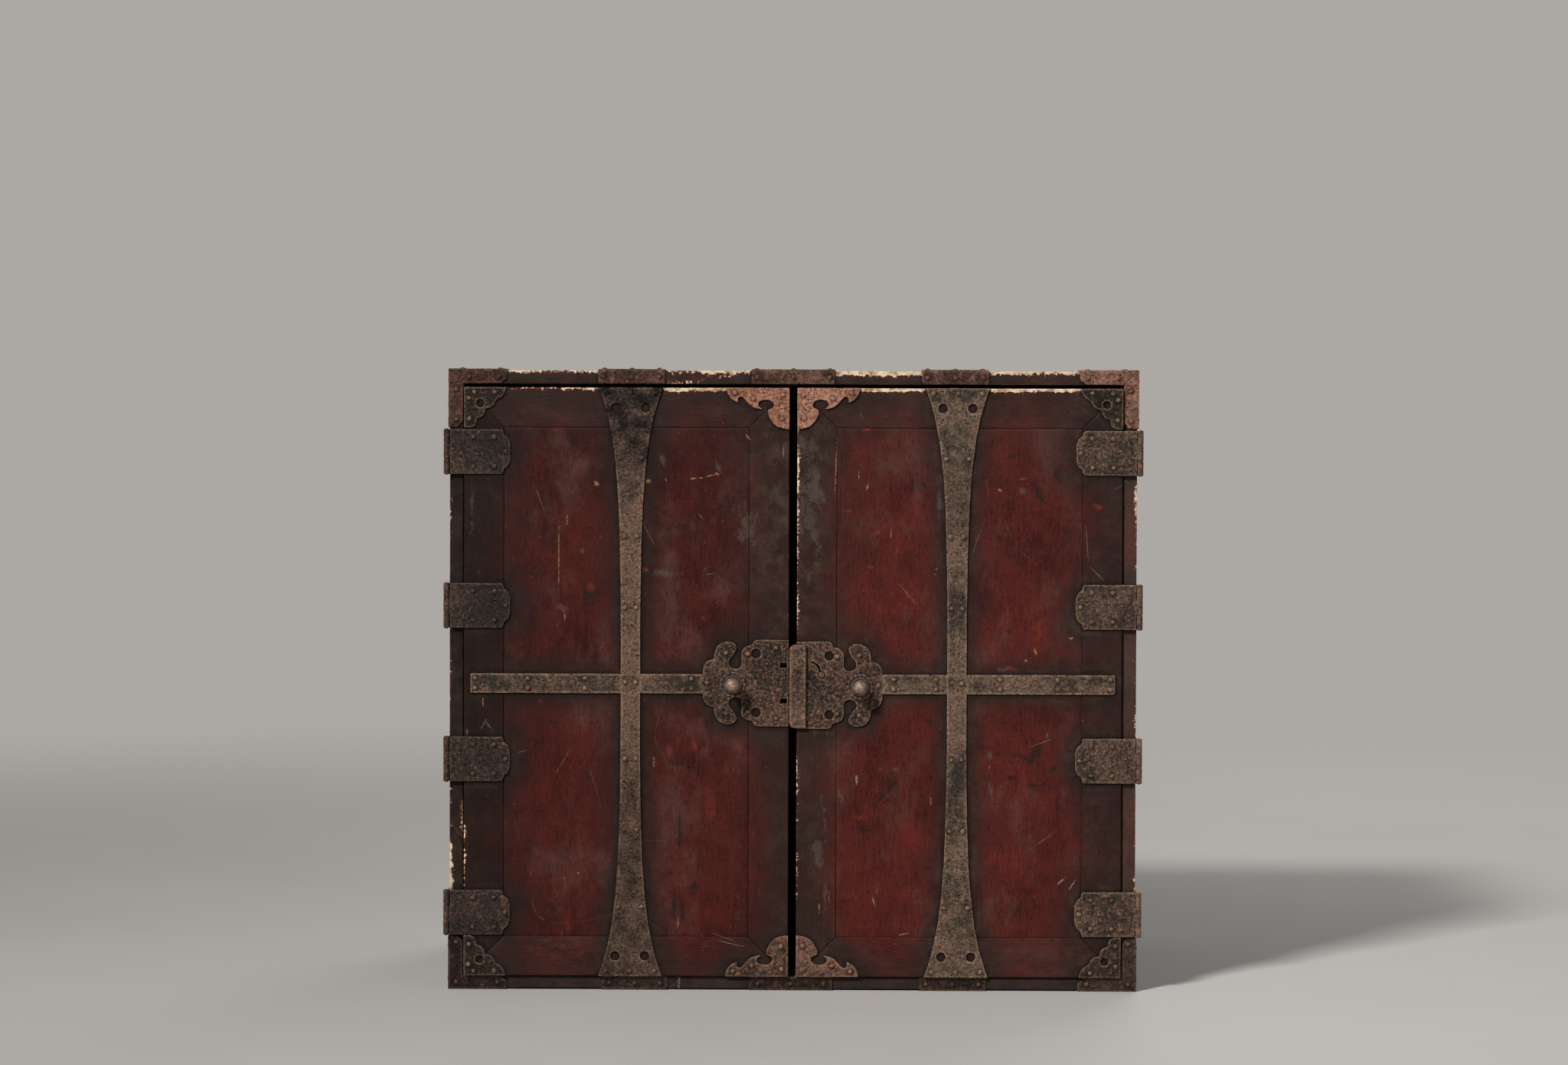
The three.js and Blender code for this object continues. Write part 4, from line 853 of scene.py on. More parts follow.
# %% [markdown]
# ## Values that ride on the mesh
#
# A material can only read what the mesh tells it, so every point stores a few numbers, such as
# how worn it is. They could be painted by hand, but here they follow from distances: to an
# arris, to a nail or to the iron. Distances to lines are worked out for all points at once with
# arrays, because a loop over two hundred thousand points would be slow.

# %% Store values in a mesh


def edge_lines(edges):
    return np.array([[v.co[:] for v in e.verts] for e in edges])


def distance_to_lines(points, lines):
    """How far each point is from the nearest of some straight lines, in metres."""
    nearest = np.full(len(points), FARTHEST)
    for start, end in lines:
        along = end - start
        share = np.clip((points - start) @ along / max(along @ along, 1e-12), 0, 1)
        nearest = np.minimum(nearest, np.linalg.norm(points - start - share[:, None] * along, axis=1))
    return nearest


def points_of(bm):
    return np.array([v.co[:] for v in bm.verts])


def store(bm, name, values):
    layer = bm.verts.layers.float.get(name) or bm.verts.layers.float.new(name)
    for vert, value in zip(bm.verts, values):
        vert[layer] = float(value)


def finish_piece(bm, name, materials, replaced=(), body=None):
    """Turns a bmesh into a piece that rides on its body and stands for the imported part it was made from."""
    mesh = bpy.data.meshes.new(name)
    for face in bm.faces:
        face.smooth = True
    bm.to_mesh(mesh)
    bm.free()
    mesh.set_sharp_from_angle(angle=math.radians(38))
    for material in materials:
        mesh.materials.append(material)
    piece = bpy.data.objects.new(name, mesh)
    bpy.context.scene.collection.objects.link(piece)
    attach(piece, body or nodes[replaced[0]]["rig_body"])
    if replaced:
        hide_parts(*replaced)
    return piece


print("the grid cuts, the bevels and the stored values are ready")

# %% [markdown]
# ## Where the iron lies
#
# Iron and soot go together: sweat, smoke and rust gather in the angle between a plate and the
# wood. A BVH tree answers how far a point is from the nearest iron, quickly enough to ask
# for every point of every board.

# %% Measure the distance to the iron
WOOD = [name for name in nodes if name.startswith(("case_", "door_"))]
IRON = [name for name in nodes if name not in WOOD and name not in ("lock_bolt", "lock_key_post")]


def search_tree(names):
    points, faces = [], []
    for name in names:
        mesh = nodes[name].data
        first = len(points)
        points.extend(v.co.copy() for v in mesh.vertices)
        faces.extend([first + i for i in polygon.vertices] for polygon in mesh.polygons)
    return BVHTree.FromPolygons(points, faces)


iron_tree = search_tree(IRON)
print(len(WOOD), "wooden parts and", len(IRON), "irons that show")

# %% [markdown]
# ## Boards, frames and panels
#
# One recipe dresses all sixteen wooden parts. What differs is a short table: which material is
# outside, which way the hidden face looks, and how sooty the part is as a whole, where the left
# side's larger share than the right's is painted shade. The second table lists the arrises where
# the lacquer has come off down to pale wood, with how badly.

# %% Tables for the wooden parts
CASE_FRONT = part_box("case_top_board")[0].y
CASE_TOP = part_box("case_top_board")[1].z
CASE_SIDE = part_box("case_side_right")[1].x
DOOR_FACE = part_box("door_left_panel")[0].y
DOOR_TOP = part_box("door_left_rail_top")[1].z
DOOR_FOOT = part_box("door_left_rail_bottom")[0].z
MEETING_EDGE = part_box("door_right_stile_meeting")[0].x
DOOR_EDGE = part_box("door_right_stile_hinge")[1].x
UPRIGHT_JOINTS = (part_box("door_right_panel")[0].x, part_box("door_right_panel")[1].x)
RIGHT, LEFT = towards(0), towards(0, -1)
BEHIND, AHEAD = towards(1), towards(1, -1)
UP, DOWN = towards(2), towards(2, -1)

WOOD_LOOKS = {
    "case_top_board": (case_dark["level"], inner_level, DOWN, 0.40),
    "case_bottom_board": (case_dark["level"], inner_level, UP, 0.75),
    # The left side's darker share than the right side's is painted shade
    "case_side_left": (case_dark["left"], inner_upright, RIGHT, 0.60),
    "case_side_right": (case_dark["right"], inner_upright, LEFT, 0.45),
    "case_back_panel": (back_wood, inner_level, AHEAD, 0.30),
    "case_shelf": (inner_level, inner_level, UP, 0.15),
    "door_left_panel": (door_red["left_panel"], inner_upright, BEHIND, 0.0),
    "door_right_panel": (door_red["right_panel"], inner_upright, BEHIND, 0.0),
    "stile_meeting": (door_red["meeting"], frame_upright, BEHIND, 0.06),
    "door_left_stile_hinge": (door_red["left_stile"], frame_upright, BEHIND, 0.06),
    "door_right_stile_hinge": (door_red["right_stile"], frame_upright, BEHIND, 0.06),
    "rail_top": (door_red["level"], frame_level, BEHIND, 0.08),
    "rail_bottom": (door_red["level"], frame_level, BEHIND, 0.12),
}
# Each worn arris runs from x, z to x, z on the front of its part, in millimetres
WORN = {
    "case_top_board": [
        (-372, 811, -245, 811, 0.62), (-166, 811, -120, 811, 0.62), (-120, 811, -58, 811, 0.7),
        (56, 811, 168, 811, 1.7), (256, 811, 376, 811, 0.84), (-168, 795, -120, 795, 0.45),
        (-120, 803, -80, 803, 0.4),
    ],
    "door_left_rail_top": [
        (-372, 788.7, -300, 788.7, 0.48), (-300, 788.7, -258, 788.7, 0.8), (-167, 788.7, -88, 788.7, 1.05),
    ],
    "door_right_rail_top": [
        (88, 788.7, 170, 788.7, 1.15), (258, 788.7, 374, 788.7, 1.0),
    ],
    "door_right_stile_meeting": [
        (5.2, 120, 5.2, 330, 0.46), (5.2, 470, 5.2, 600, 0.54), (5.2, 600, 5.2, 735, 0.62),
    ],
    "door_left_stile_meeting": [(-5.2, 460, -5.2, 740, 0.34)],
    "case_side_left": [
        (-449, 134, -449, 190, 1.0), (-449, 190, -449, 255, 0.5), (-449, 255, -449, 700, 0.38),
        (-431.5, 205, -431.5, 250, 0.62),
    ],
    "case_side_right": [(449, 620, 449, 660, 0.62), (449, 100, 449, 620, 0.4)],
    "door_left_stile_hinge": [(-430, 137, -430, 214, 0.55)],
}
print("worn arrises:", sum(len(lines) for lines in WORN.values()), "on", len(WORN), "parts")

# %% [markdown]
# ## Soot, painted shade, dust and wear
#
# Soot is blackest beside the iron and along every edge of the doors, and painted shade darkens
# the doors towards the top, the left one more, and the left door as a whole. Each cause leaves a
# share of the lacquer clear, which grows with distance by one curve. The shares are multiplied,
# so two faint soots make a darker one and nothing gets blacker than black. Pale dust lies on the
# soot beside the meeting edge and round the irons, and the extra on the right door is painted
# light. Wear lies on the arrises, and noise makes it come and go along them.

# %% Soot and painted shade, pale dust and wear at every point
SOOT_REACH = 0.021
SOOT_POWER = 1.5
WEAR_REACH = 0.0085
ARRIS_REACH = 0.0035


def fade(distance, reach, power=1.7):
    return np.exp(-((np.maximum(distance, 0) / reach) ** power))


def soot_and_shade_at(name, base, points, near_iron):
    """How black each point is, from 0 to 1, with soot and painted shade. On the doors it deepens towards
    every edge, and as painted shade towards the top and over the left door.
    """
    clear = (1 - base) * (1 - 0.92 * fade(near_iron, SOOT_REACH, SOOT_POWER))
    if name.startswith("door"):
        x, z = np.abs(points[:, 0]), points[:, 2]
        left = points[:, 0] < 0
        high = np.clip((z - 0.35) / 0.4, 0, 1)
        clear = clear * (1 - 0.88 * fade(x - MEETING_EDGE, np.where(z > 0.40, 0.072, 0.050)))
        # Painted shade: the dark band at the left door's hinge edge is wider
        clear = clear * (1 - 0.85 * fade(DOOR_EDGE - x, 0.066 + 0.012 * left))
        clear = clear * (1 - 0.66 * fade(DOOR_TOP - z, 0.066)) * (1 - 0.4 * fade(z - DOOR_FOOT, 0.05))
        # Painted shade: darker towards the top, the left door more, and the left door darker as a whole
        clear = clear * (1 - 0.22 * high * np.where(left, 1.0, 0.45)) * np.where(left, 0.92, 1.0)
    return 1 - clear


def pale_dust_and_light_at(name, points, near_iron):
    """How much pale dust lies on the soot: most beside the meeting edge, then round the irons. That the right
    door gets more than the left is painted light.
    """
    if not name.startswith("door"):
        return np.full(len(points), 0.3)
    x, z = np.abs(points[:, 0]), points[:, 2]
    right = points[:, 0] > 0
    round_iron = np.where(right, 0.5, 0.22) * np.exp(-(((near_iron - 0.006) / 0.005) ** 2))
    beside_edge = 0.75 * fade(x - MEETING_EDGE, 0.05) * np.clip((z - 0.3) / 0.3, 0.3, 1)
    return np.maximum(np.maximum(round_iron, beside_edge), np.where(right, 0.22, 0.1))


def wear_at(name, points, near_edge):
    """How far the lacquer has worn off each point, from 0 to 1."""
    wear = 0.2 * np.clip(1 - near_edge / ARRIS_REACH, 0, 1)
    front = DOOR_FACE if name.startswith("door") else CASE_FRONT
    for x0, z0, x1, z1, strength in WORN.get(name, []):
        line = np.array([[[x0 * MM, front, z0 * MM], [x1 * MM, front, z1 * MM]]])
        gone = np.clip(1 - distance_to_lines(points, line) / WEAR_REACH, 0, 1)
        wear = np.maximum(wear, strength * gone)
    slow = np.array([noise.noise(Vector(p) * 23) for p in points])
    return np.clip(wear * (1 + 0.5 * slow), 0, 1)


gone_at = SOOT_REACH * math.log(100) ** (1 / SOOT_POWER)
print("all but a hundredth of the soot round an iron lies within", round(gone_at, 3), "m of it")

# %% Dress the wooden parts
BOARD_GRID = 0.0065
HIDDEN_GRID = 0.012
ARRIS_BEVEL = 0.0007
ARRIS_STRIP = 0.0028
JOINT_BEVEL = 0.0002
# How far the painted shadow line beside a plate reaches
PLATE_SHADOW_REACH = 0.0028
INSIDE_PARTS = ("case_shelf", "case_back_panel")


def is_joint(point):
    """Whether a point of a door is on an upright joint between its panel and its frame."""
    return min(abs(abs(point.x) - joint) for joint in UPRIGHT_JOINTS) < 0.001


def dress_wood(name):
    look = name if name in WOOD_LOOKS else name.split("_", 2)[2]
    outer, inner, hidden, base = WOOD_LOOKS[look]
    bm = copy_of(name)
    joints = []
    if name.startswith("door"):
        joints = [e for e in sharp_edges(bm) if all(is_joint(v.co) for v in e.verts)]
    arrises = [e for e in sharp_edges(bm) if e not in joints]
    lines = edge_lines(arrises)
    low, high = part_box(name)
    if joints:
        round_edges(bm, JOINT_BEVEL, joints)
    round_edges(bm, ARRIS_BEVEL, [e for e in arrises if e.is_valid])
    spacing = HIDDEN_GRID if name in INSIDE_PARTS else BOARD_GRID
    for axis in ALL_AXES:
        places = steps_between(low[axis], high[axis], max(1, round((high[axis] - low[axis]) / spacing)))
        places += [low[axis] + ARRIS_STRIP, high[axis] - ARRIS_STRIP]
        cut_across(bm, axis, sorted(places))
    bm.normal_update()
    points = points_of(bm)
    near_iron = np.array([iron_tree.find_nearest(v.co)[3] for v in bm.verts])
    wear = wear_at(name, points, distance_to_lines(points, lines))
    store(bm, "soot_and_shade", soot_and_shade_at(name, base, points, near_iron))
    store(bm, "wear", wear)
    store(bm, "pale_dust_and_light", pale_dust_and_light_at(name, points, near_iron))
    # A painted shadow: a black line on the front of the wood beside the iron
    store(bm, "plate_shadow", fade(near_iron, PLATE_SHADOW_REACH) * (np.abs(points[:, 1] - DOOR_FACE) < 0.004))
    for vert, worn in zip(bm.verts, wear):
        dip = noise.noise(vert.co * 8) * 0.00018 + noise.noise(vert.co * 60) * 0.00006
        vert.co += vert.normal * (dip - worn * (0.0004 + 0.0004 * noise.noise(vert.co * 150)))
    for face in bm.faces:
        face.material_index = int(face.normal.dot(hidden) > 0.5)
    return finish_piece(bm, "wood_" + name, [outer, inner], [name])


wood_pieces = [dress_wood(name) for name in WOOD]
print("wooden pieces:", len(wood_pieces), "with", sum(len(p.data.polygons) for p in wood_pieces), "faces")

# %% [markdown]
# ## Forged sheet iron
#
# Most of the iron is sheet with domed nails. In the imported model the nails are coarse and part
# of the sheet, so first a plane just under the face shaves them off, and the hole is filled.
# Then the rims are rounded, the sheet is cut into small faces, and noise moves the points a
# little, because a hammered sheet is never flat or straight. New nails go where the tips of
# the coarse ones were. Each is a squashed sphere of a few faces, turned its own way.

# %% Nails
PLATE_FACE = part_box("lock_key_post")[0].y
SHEET = 0.0018
PLATE = 0.0022
NAIL_HEIGHT = 0.0022
NAIL_RADIUS = 0.0034
SHAVE = 0.00002
SEED = 11
chance = random.Random(SEED)
# Without a seed the vector noise would begin somewhere else in every run
noise.seed_set(SEED)


def nail_tips(bm, axis, face, sign):
    """The tips of the coarse nails, which all stand equally high over the face."""
    tips = set()
    for vert in bm.verts:
        if abs(sign * (vert.co[axis] - face) - NAIL_HEIGHT) < SHAVE:
            tips.add(tuple(round(c, 5) for c in vert.co))
    return [Vector(tip) for tip in sorted(tips)]


def add_nail(bm, tip, axis, sign, size=1.0):
    """A domed head whose top is at tip, looking along one axis."""
    made = bmesh.ops.create_uvsphere(bm, u_segments=12, v_segments=8, radius=1)["verts"]
    wide = NAIL_RADIUS * size * chance.uniform(0.9, 1.08)
    tall = NAIL_HEIGHT * chance.uniform(0.92, 1.0)
    rubbed = chance.uniform(0.65, 1.1)
    tipped = Matrix.Rotation(chance.uniform(-0.1, 0.1), 3, "X")
    lean = tipped @ Matrix.Rotation(chance.uniform(0, 6.28), 3, "Z")
    facing = towards(axis, sign).to_track_quat("Z", "Y").to_matrix()
    foot = tip - towards(axis, sign) * NAIL_HEIGHT
    rim_layer = bm.verts.layers.float["rim"]
    dirt_and_shade_layer = bm.verts.layers.float["dirt_and_shade"]
    for vert in made:
        local = vert.co.copy()
        vert[rim_layer] = (0.3 + 0.8 * max(0.0, local.z) ** 2) * rubbed
        # Painted shade at the foot of the dome
        vert[dirt_and_shade_layer] = max(0.0, 0.55 - 2.6 * local.z)
        crown = local.z if local.z > 0 else local.z * 0.4
        bulge = 1 + 0.07 * noise.noise(local * 1.7 + tip * 400)
        shape = Vector((local.x * wide * bulge, local.y * wide * bulge, crown * tall))
        vert.co = foot + facing @ (lean @ shape)


print("a nail head is", NAIL_RADIUS * 2, "m wide and", NAIL_HEIGHT, "m high")

# %% Sheets
RIM_BEVEL = 0.0007
RIM_REACH = 0.0018
# How far the painted shade round a nail's foot reaches
NAIL_SHADE_REACH = 0.0027


def hammer(bm, axis, dent, waver=0.0003):
    """Leaves the marks of forging: dents across the sheet and an outline that isn't quite straight."""
    bm.normal_update()
    for vert in bm.verts:
        co = vert.co
        drift = noise.noise_vector(co * 38) * waver
        drift[axis] = 0
        relief = noise.noise(co * 110) * dent + noise.noise(co * 330) * dent * 0.6
        vert.co = co + drift + vert.normal * relief
        vert.co.z = max(vert.co.z, 0.0)


def rim_at(points, lines):
    return np.clip(1 - distance_to_lines(points, lines) / RIM_REACH, 0, 1)


def forge(bm, axis, face, sign, spacing, extra_nails=(), dent=0.0002):
    """Turns a copy of a packed sheet into a forged one with fine nails. The bmesh is changed in place."""
    nails = [(tip, axis, sign) for tip in nail_tips(bm, axis, face, sign)]
    nails += [(Vector(place), nail_axis, nail_sign) for place, nail_axis, nail_sign in extra_nails]
    shaved = slice_off(bm, axis, face - sign * SHAVE, sign)
    for vert in dict.fromkeys(v for e in shaved for v in e.verts):
        vert.co[axis] = face
    simplify(bm)
    lines = edge_lines(sharp_edges(bm, 45))
    round_edges(bm, RIM_BEVEL, sharp_edges(bm, 45))
    grid_cut(bm, spacing)
    points = points_of(bm)
    store(bm, "rim", rim_at(points, lines))
    near_nail = np.full(len(points), FARTHEST)
    for tip, *_ in nails:
        near_nail = np.minimum(near_nail, np.linalg.norm(points - tip, axis=1))
    # Painted shade: a black ring round the foot of each nail
    store(bm, "dirt_and_shade", np.clip(2.4 - near_nail / NAIL_SHADE_REACH, 0, 1) * 0.97)
    hammer(bm, axis, dent)
    for tip, nail_axis, nail_sign in nails:
        add_nail(bm, tip, nail_axis, nail_sign)


print("sheets are", SHEET, "or", PLATE, "m thick, with rims rounded by", RIM_BEVEL, "m")

# %% Irons nailed flat on the doors
# Where the upright bands are darker: from one height to another, and how much
DARK_SPANS = {
    "upright_band_left": [(-0.05, 0.31, 0.8), (0.66, 0.85, 1.25)],
    "upright_band_right": [(0.23, 0.33, 0.4), (0.57, 0.71, 0.6)],
}
SPAN_FADE = 0.04
FLAT_IRONS = [
    ("upright_band_left", "band_left", "band_iron", 0.0036),
    ("upright_band_right", "band_right", "band_iron", 0.0036),
    ("level_band_left", "band_level", "band_iron", 0.0034),
    ("level_band_right", "band_right", "band_iron", 0.0034),
    ("step_plate", "step", "plate_iron", 0.0026),
    ("scroll_plate_top", "scroll", "plate_iron", 0.0026),
    ("scroll_plate_bottom", "scroll_low", "plate_iron", 0.0026),
    ("lock_plate", "lock", "plate_iron", 0.0026),
]


def darken(bm, spans):
    """Darkens a band in patches between pairs of heights."""
    dirt_and_shade = bm.verts.layers.float["dirt_and_shade"]
    for low, high, depth in spans:
        for vert in bm.verts:
            inside = min(vert.co.z - low, high - vert.co.z) / SPAN_FADE
            patch = (0.75 + 0.7 * noise.noise(vert.co * 60)) * depth
            vert[dirt_and_shade] = max(vert[dirt_and_shade], min(max(inside, 0.0), 1.0) * patch)


door_irons = []
for start, iron_name, slot_name, spacing in FLAT_IRONS:
    for name in sorted(n for n in nodes if n.startswith(start)):
        bm = copy_of(name)
        forge(bm, 1, PLATE_FACE, -1, spacing)
        darken(bm, DARK_SPANS.get(name, []))
        door_irons.append(finish_piece(bm, "iron_" + name, [irons[iron_name]], [name]))
print("irons nailed flat on the doors:", len(door_irons), "with",
      sum(len(p.data.polygons) for p in door_irons), "faces")

# %% [markdown]
# ## Irons folded round the case
#
# The corner irons and straps are thinner sheet, folded over the boards' edges. They have nails
# on the top and the sides as well, in two rows. A scored line in front marks the mitre where
# the two arms of a corner iron meet.

# %% Where the folded irons lie
CASE_IRON_FACE = CASE_FRONT - SHEET
CASE_BACK_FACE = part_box("back_iron_left")[1].y - NAIL_HEIGHT
CHEST_TOP = CASE_TOP + SHEET
TOP_NAIL = CHEST_TOP + NAIL_HEIGHT
SIDE_NAIL = CASE_SIDE + SHEET + NAIL_HEIGHT
ROWS_IN = (0.013, 0.046)
FRONT_ROWS = [CASE_FRONT + inwards for inwards in ROWS_IN]
BACK_ROWS = [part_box("case_side_left")[1].y - inwards for inwards in ROWS_IN]
HIGH_NAILS = (0.7987, 0.7482)
LOW_NAILS = (0.012, 0.056)
TOP_NAILS = (0.4336, 0.3846)
ARM_WIDTH = 0.0185
SCORE_HALF = 0.0007
SCORE_DEPTH = 0.0006


def mitre(bm, corner_x, corner_z, x_way, z_way):
    """Scores the line where two arms of a corner iron meet, from the outer corner inwards."""
    across = Vector((x_way, 0, -z_way)).normalized()
    corner = Vector((corner_x, 0, corner_z))
    for offset in (-SCORE_HALF, 0.0, SCORE_HALF):
        bmesh.ops.bisect_plane(bm, geom=all_of(bm), dist=ON_PLANE,
                               plane_co=corner + across * offset, plane_no=across)
    for vert in bm.verts:
        gap = vert.co - corner
        on_front = abs(vert.co.y - CASE_IRON_FACE) < 0.0004
        inside = 0 < gap.x * x_way < ARM_WIDTH and 0 < gap.z * z_way < ARM_WIDTH
        if on_front and inside and abs(gap.dot(across)) < 0.00015:
            vert.co.y += SCORE_DEPTH


def fold_iron(name, packed, material, nails, face=CASE_IRON_FACE, sign=-1, spacing=0.0036, corner=()):
    """Forges one folded iron, whose nails stand on its front or back face and where nails says."""
    bm = copy_of(packed)
    forge(bm, 1, face, sign, spacing, nails)
    if corner:
        mitre(bm, *corner)
    return finish_piece(bm, "iron_" + name, [material], [packed])


def side_nails(x_sign, rows, heights):
    return [((x_sign * SIDE_NAIL, y, z), 0, x_sign) for y in rows for z in heights]


print("the folded irons reach", round(TOP_NAIL, 4), "m high with their nails")

# %% Corner irons and straps
case_irons = []
# The right corner irons take the lighter copies, as painted light, and the left ones the darker, as painted
# shade
for side, x_sign, low_iron in (("left", -1, irons["dark"]), ("right", 1, irons["low_right"])):
    outer_x = x_sign * (CASE_SIDE + SHEET)
    top_nails = [((x_sign * x, y, TOP_NAIL), 2, 1) for y in FRONT_ROWS for x in TOP_NAILS]
    case_irons += [
        fold_iron("corner_top_" + side, "corner_iron_top_" + side, irons["corner_" + side],
                  side_nails(x_sign, FRONT_ROWS, HIGH_NAILS) + top_nails,
                  corner=(outer_x, CHEST_TOP, -x_sign, -1)),
        fold_iron("corner_bottom_" + side, "corner_iron_bottom_" + side, low_iron,
                  side_nails(x_sign, FRONT_ROWS, LOW_NAILS), corner=(outer_x, 0.0, -x_sign, 1)),
        fold_iron("back_" + side, "back_iron_" + side, irons["dark"],
                  side_nails(x_sign, BACK_ROWS, LOW_NAILS), CASE_BACK_FACE, 1, 0.0045),
    ]

STRAP_NAILS = {"left": 0.036, "middle": 0.048, "right": 0.036}
for which, reach in STRAP_NAILS.items():
    name = "top_strap_" + which
    low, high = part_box(name)
    middle = (low.x + high.x) / 2
    nails = [((middle + x, y, TOP_NAIL), 2, 1) for y in FRONT_ROWS for x in (-reach, 0.0, reach)]
    case_irons.append(fold_iron(name, name, irons["strap"], nails))
print("irons folded round the case:", len(case_irons))

# %% [markdown]
# ## Straps under the bottom board
#
# Three more straps hold the bottom board. They aren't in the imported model, so they are made
# from a copy of a top strap: turned upside down, squeezed to the board's height and widened.
# The coarse nails are shaved off first, because they would end up between the new ones.

# %% Straps under the bottom board
BOTTOM_STRAPS = [("left", -0.248, -0.164), ("middle", -0.055, 0.052), ("right", 0.167, 0.253)]
strap_low, strap_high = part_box("top_strap_left")
floor_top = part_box("case_bottom_board")[1].z
squeeze = floor_top / (strap_high.z - strap_low.z)
for which, x0, x1 in BOTTOM_STRAPS:
    bm = copy_of("top_strap_left")
    widen = (x1 - x0) / (strap_high.x - strap_low.x)
    slice_off(bm, 1, CASE_IRON_FACE + SHAVE, -1)
    for vert in bm.verts:
        vert.co.x = x0 + (vert.co.x - strap_low.x) * widen
        vert.co.z = (CHEST_TOP - vert.co.z) * squeeze
    bmesh.ops.recalc_face_normals(bm, faces=bm.faces)
    forge(bm, 1, CASE_IRON_FACE + SHAVE, -1, 0.0045)
    for share in (0.1, 0.5, 0.9):
        tip = Vector((x0 + (x1 - x0) * share, CASE_IRON_FACE - NAIL_HEIGHT, floor_top * 0.5))
        add_nail(bm, tip, 1, -1, size=0.9)
    case_irons.append(finish_piece(
        bm, "iron_bottom_strap_" + which, [irons["dark"]], body="case"))
print("irons round the case, with the straps below:", len(case_irons))

# %% [markdown]
# ## Hinges
#
# Each hinge is two leaves and a pin. The leaf on the door carries the middle knuckle, and the
# leaf on the case's side carries the outer two, so both can turn about the same line. The
# flat part of a leaf is forged like the other sheets. Its knuckles are short cylinders with
# softened ends, and the pin has a small domed head above and below.

# %% Knuckles and pins
BARREL = 0.0039
HINGE_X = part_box("hinge_door_leaf_right_1")[1].x - BARREL
HINGE_Y = PLATE_FACE + PLATE / 2
LEAF_HALF = 0.02925
KNUCKLE_GAP = 0.0004
THIRD = LEAF_HALF * 2 / 3
PIN = 0.0019
PIN_PROUD = 0.0009
LEAF_DENT = 0.00022
LEAF_CUT = 0.0046
DOOR_TAB = 0.006
CASE_TAB = 0.0062
TAB_CLEAR = 0.00005
TAB_SHORT = 0.0002
KNUCKLE_DENT = 0.00012


def add_cylinder(bm, x, y, low, high, radius, sides=24, soften=0.0005):
    """An upright cylinder whose two rims are softened."""
    stand = Matrix.Translation((x, y, (low + high) / 2))
    made = bmesh.ops.create_cone(
        bm, cap_ends=True, segments=sides, radius1=radius, radius2=radius, depth=high - low, matrix=stand)
    rims = [e for e in dict.fromkeys(e for v in made["verts"] for e in v.link_edges)
            if abs(e.verts[0].co.z - e.verts[1].co.z) < 1e-7]
    round_edges(bm, soften, rims)


def add_tab(bm, one, other):
    """The neck of iron that joins a knuckle to its leaf, a block between two opposite corners."""
    one, other = Vector(one), Vector(other)
    size = [abs(part) for part in one - other]
    stand = Matrix.Translation((one + other) / 2) @ Matrix.Diagonal((*size, 1))
    bmesh.ops.create_cube(bm, size=1, matrix=stand)


def roughen(bm, first):
    """Gives the points that were added after the first ones a pitted surface and half-worn rims."""
    bm.normal_update()
    bm.verts.ensure_lookup_table()
    layer = bm.verts.layers.float["rim"]
    for vert in bm.verts[first:]:
        vert[layer] = 0.45
        vert.co += vert.normal * noise.noise(vert.co * 300) * KNUCKLE_DENT


def cut_rings(bm, first, low, high, count):
    """Cuts what was added after the first faces into short rings, so that it can be roughened."""
    bm.faces.ensure_lookup_table()
    cut_across(bm, 2, steps_between(low, high, count), bm.faces[first:])


print("a hinge turns about a line at x", round(HINGE_X, 4), "and y", round(HINGE_Y, 4), "m")

# %% Hinge leaves


def door_leaf(name, material, x_sign, middle):
    """The leaf on the front of the door, with the middle knuckle."""
    axis_x = x_sign * HINGE_X
    half = THIRD / 2 - KNUCKLE_GAP / 2
    bm = copy_of(name)
    slice_off(bm, 0, axis_x - x_sign * LEAF_CUT, x_sign)
    forge(bm, 1, PLATE_FACE, -1, 0.0026, dent=LEAF_DENT)
    first_vert, first_face = len(bm.verts), len(bm.faces)
    add_cylinder(bm, axis_x, HINGE_Y, middle - half, middle + half, BARREL)
    add_tab(bm, (axis_x, HINGE_Y - PLATE * 0.45, middle - half),
            (axis_x - x_sign * DOOR_TAB, HINGE_Y + PLATE * 0.5, middle + half))
    cut_rings(bm, first_face, middle - half, middle + half, 8)
    roughen(bm, first_vert)
    return finish_piece(bm, "iron_" + name, [material], [name])


def case_leaf(name, material, x_sign, middle):
    """The leaf on the side of the case, with the two outer knuckles and the pin."""
    axis_x = x_sign * HINGE_X
    inner = THIRD / 2 + KNUCKLE_GAP / 2
    bm = copy_of(name)
    slice_off(bm, 1, HINGE_Y + LEAF_CUT, -1)
    forge(bm, 0, x_sign * (CASE_SIDE + PLATE), x_sign, 0.0034, dent=LEAF_DENT)
    first_vert, first_face = len(bm.verts), len(bm.faces)
    for z0, z1 in ((middle - LEAF_HALF, middle - inner), (middle + inner, middle + LEAF_HALF)):
        add_cylinder(bm, axis_x, HINGE_Y, z0, z1, BARREL)
        add_tab(bm, (x_sign * (CASE_SIDE + TAB_CLEAR), HINGE_Y, z0 + TAB_SHORT),
                (x_sign * (CASE_SIDE + PLATE * 0.95), HINGE_Y + CASE_TAB, z1 - TAB_SHORT))
    cut_rings(bm, first_face, middle - LEAF_HALF, middle + LEAF_HALF, 22)
    add_cylinder(bm, axis_x, HINGE_Y, middle - LEAF_HALF - PIN_PROUD, middle + LEAF_HALF + PIN_PROUD,
                 PIN * 1.25, sides=16, soften=0.0007)
    roughen(bm, first_vert)
    return finish_piece(bm, "iron_" + name, [material], [name])


hinges = []
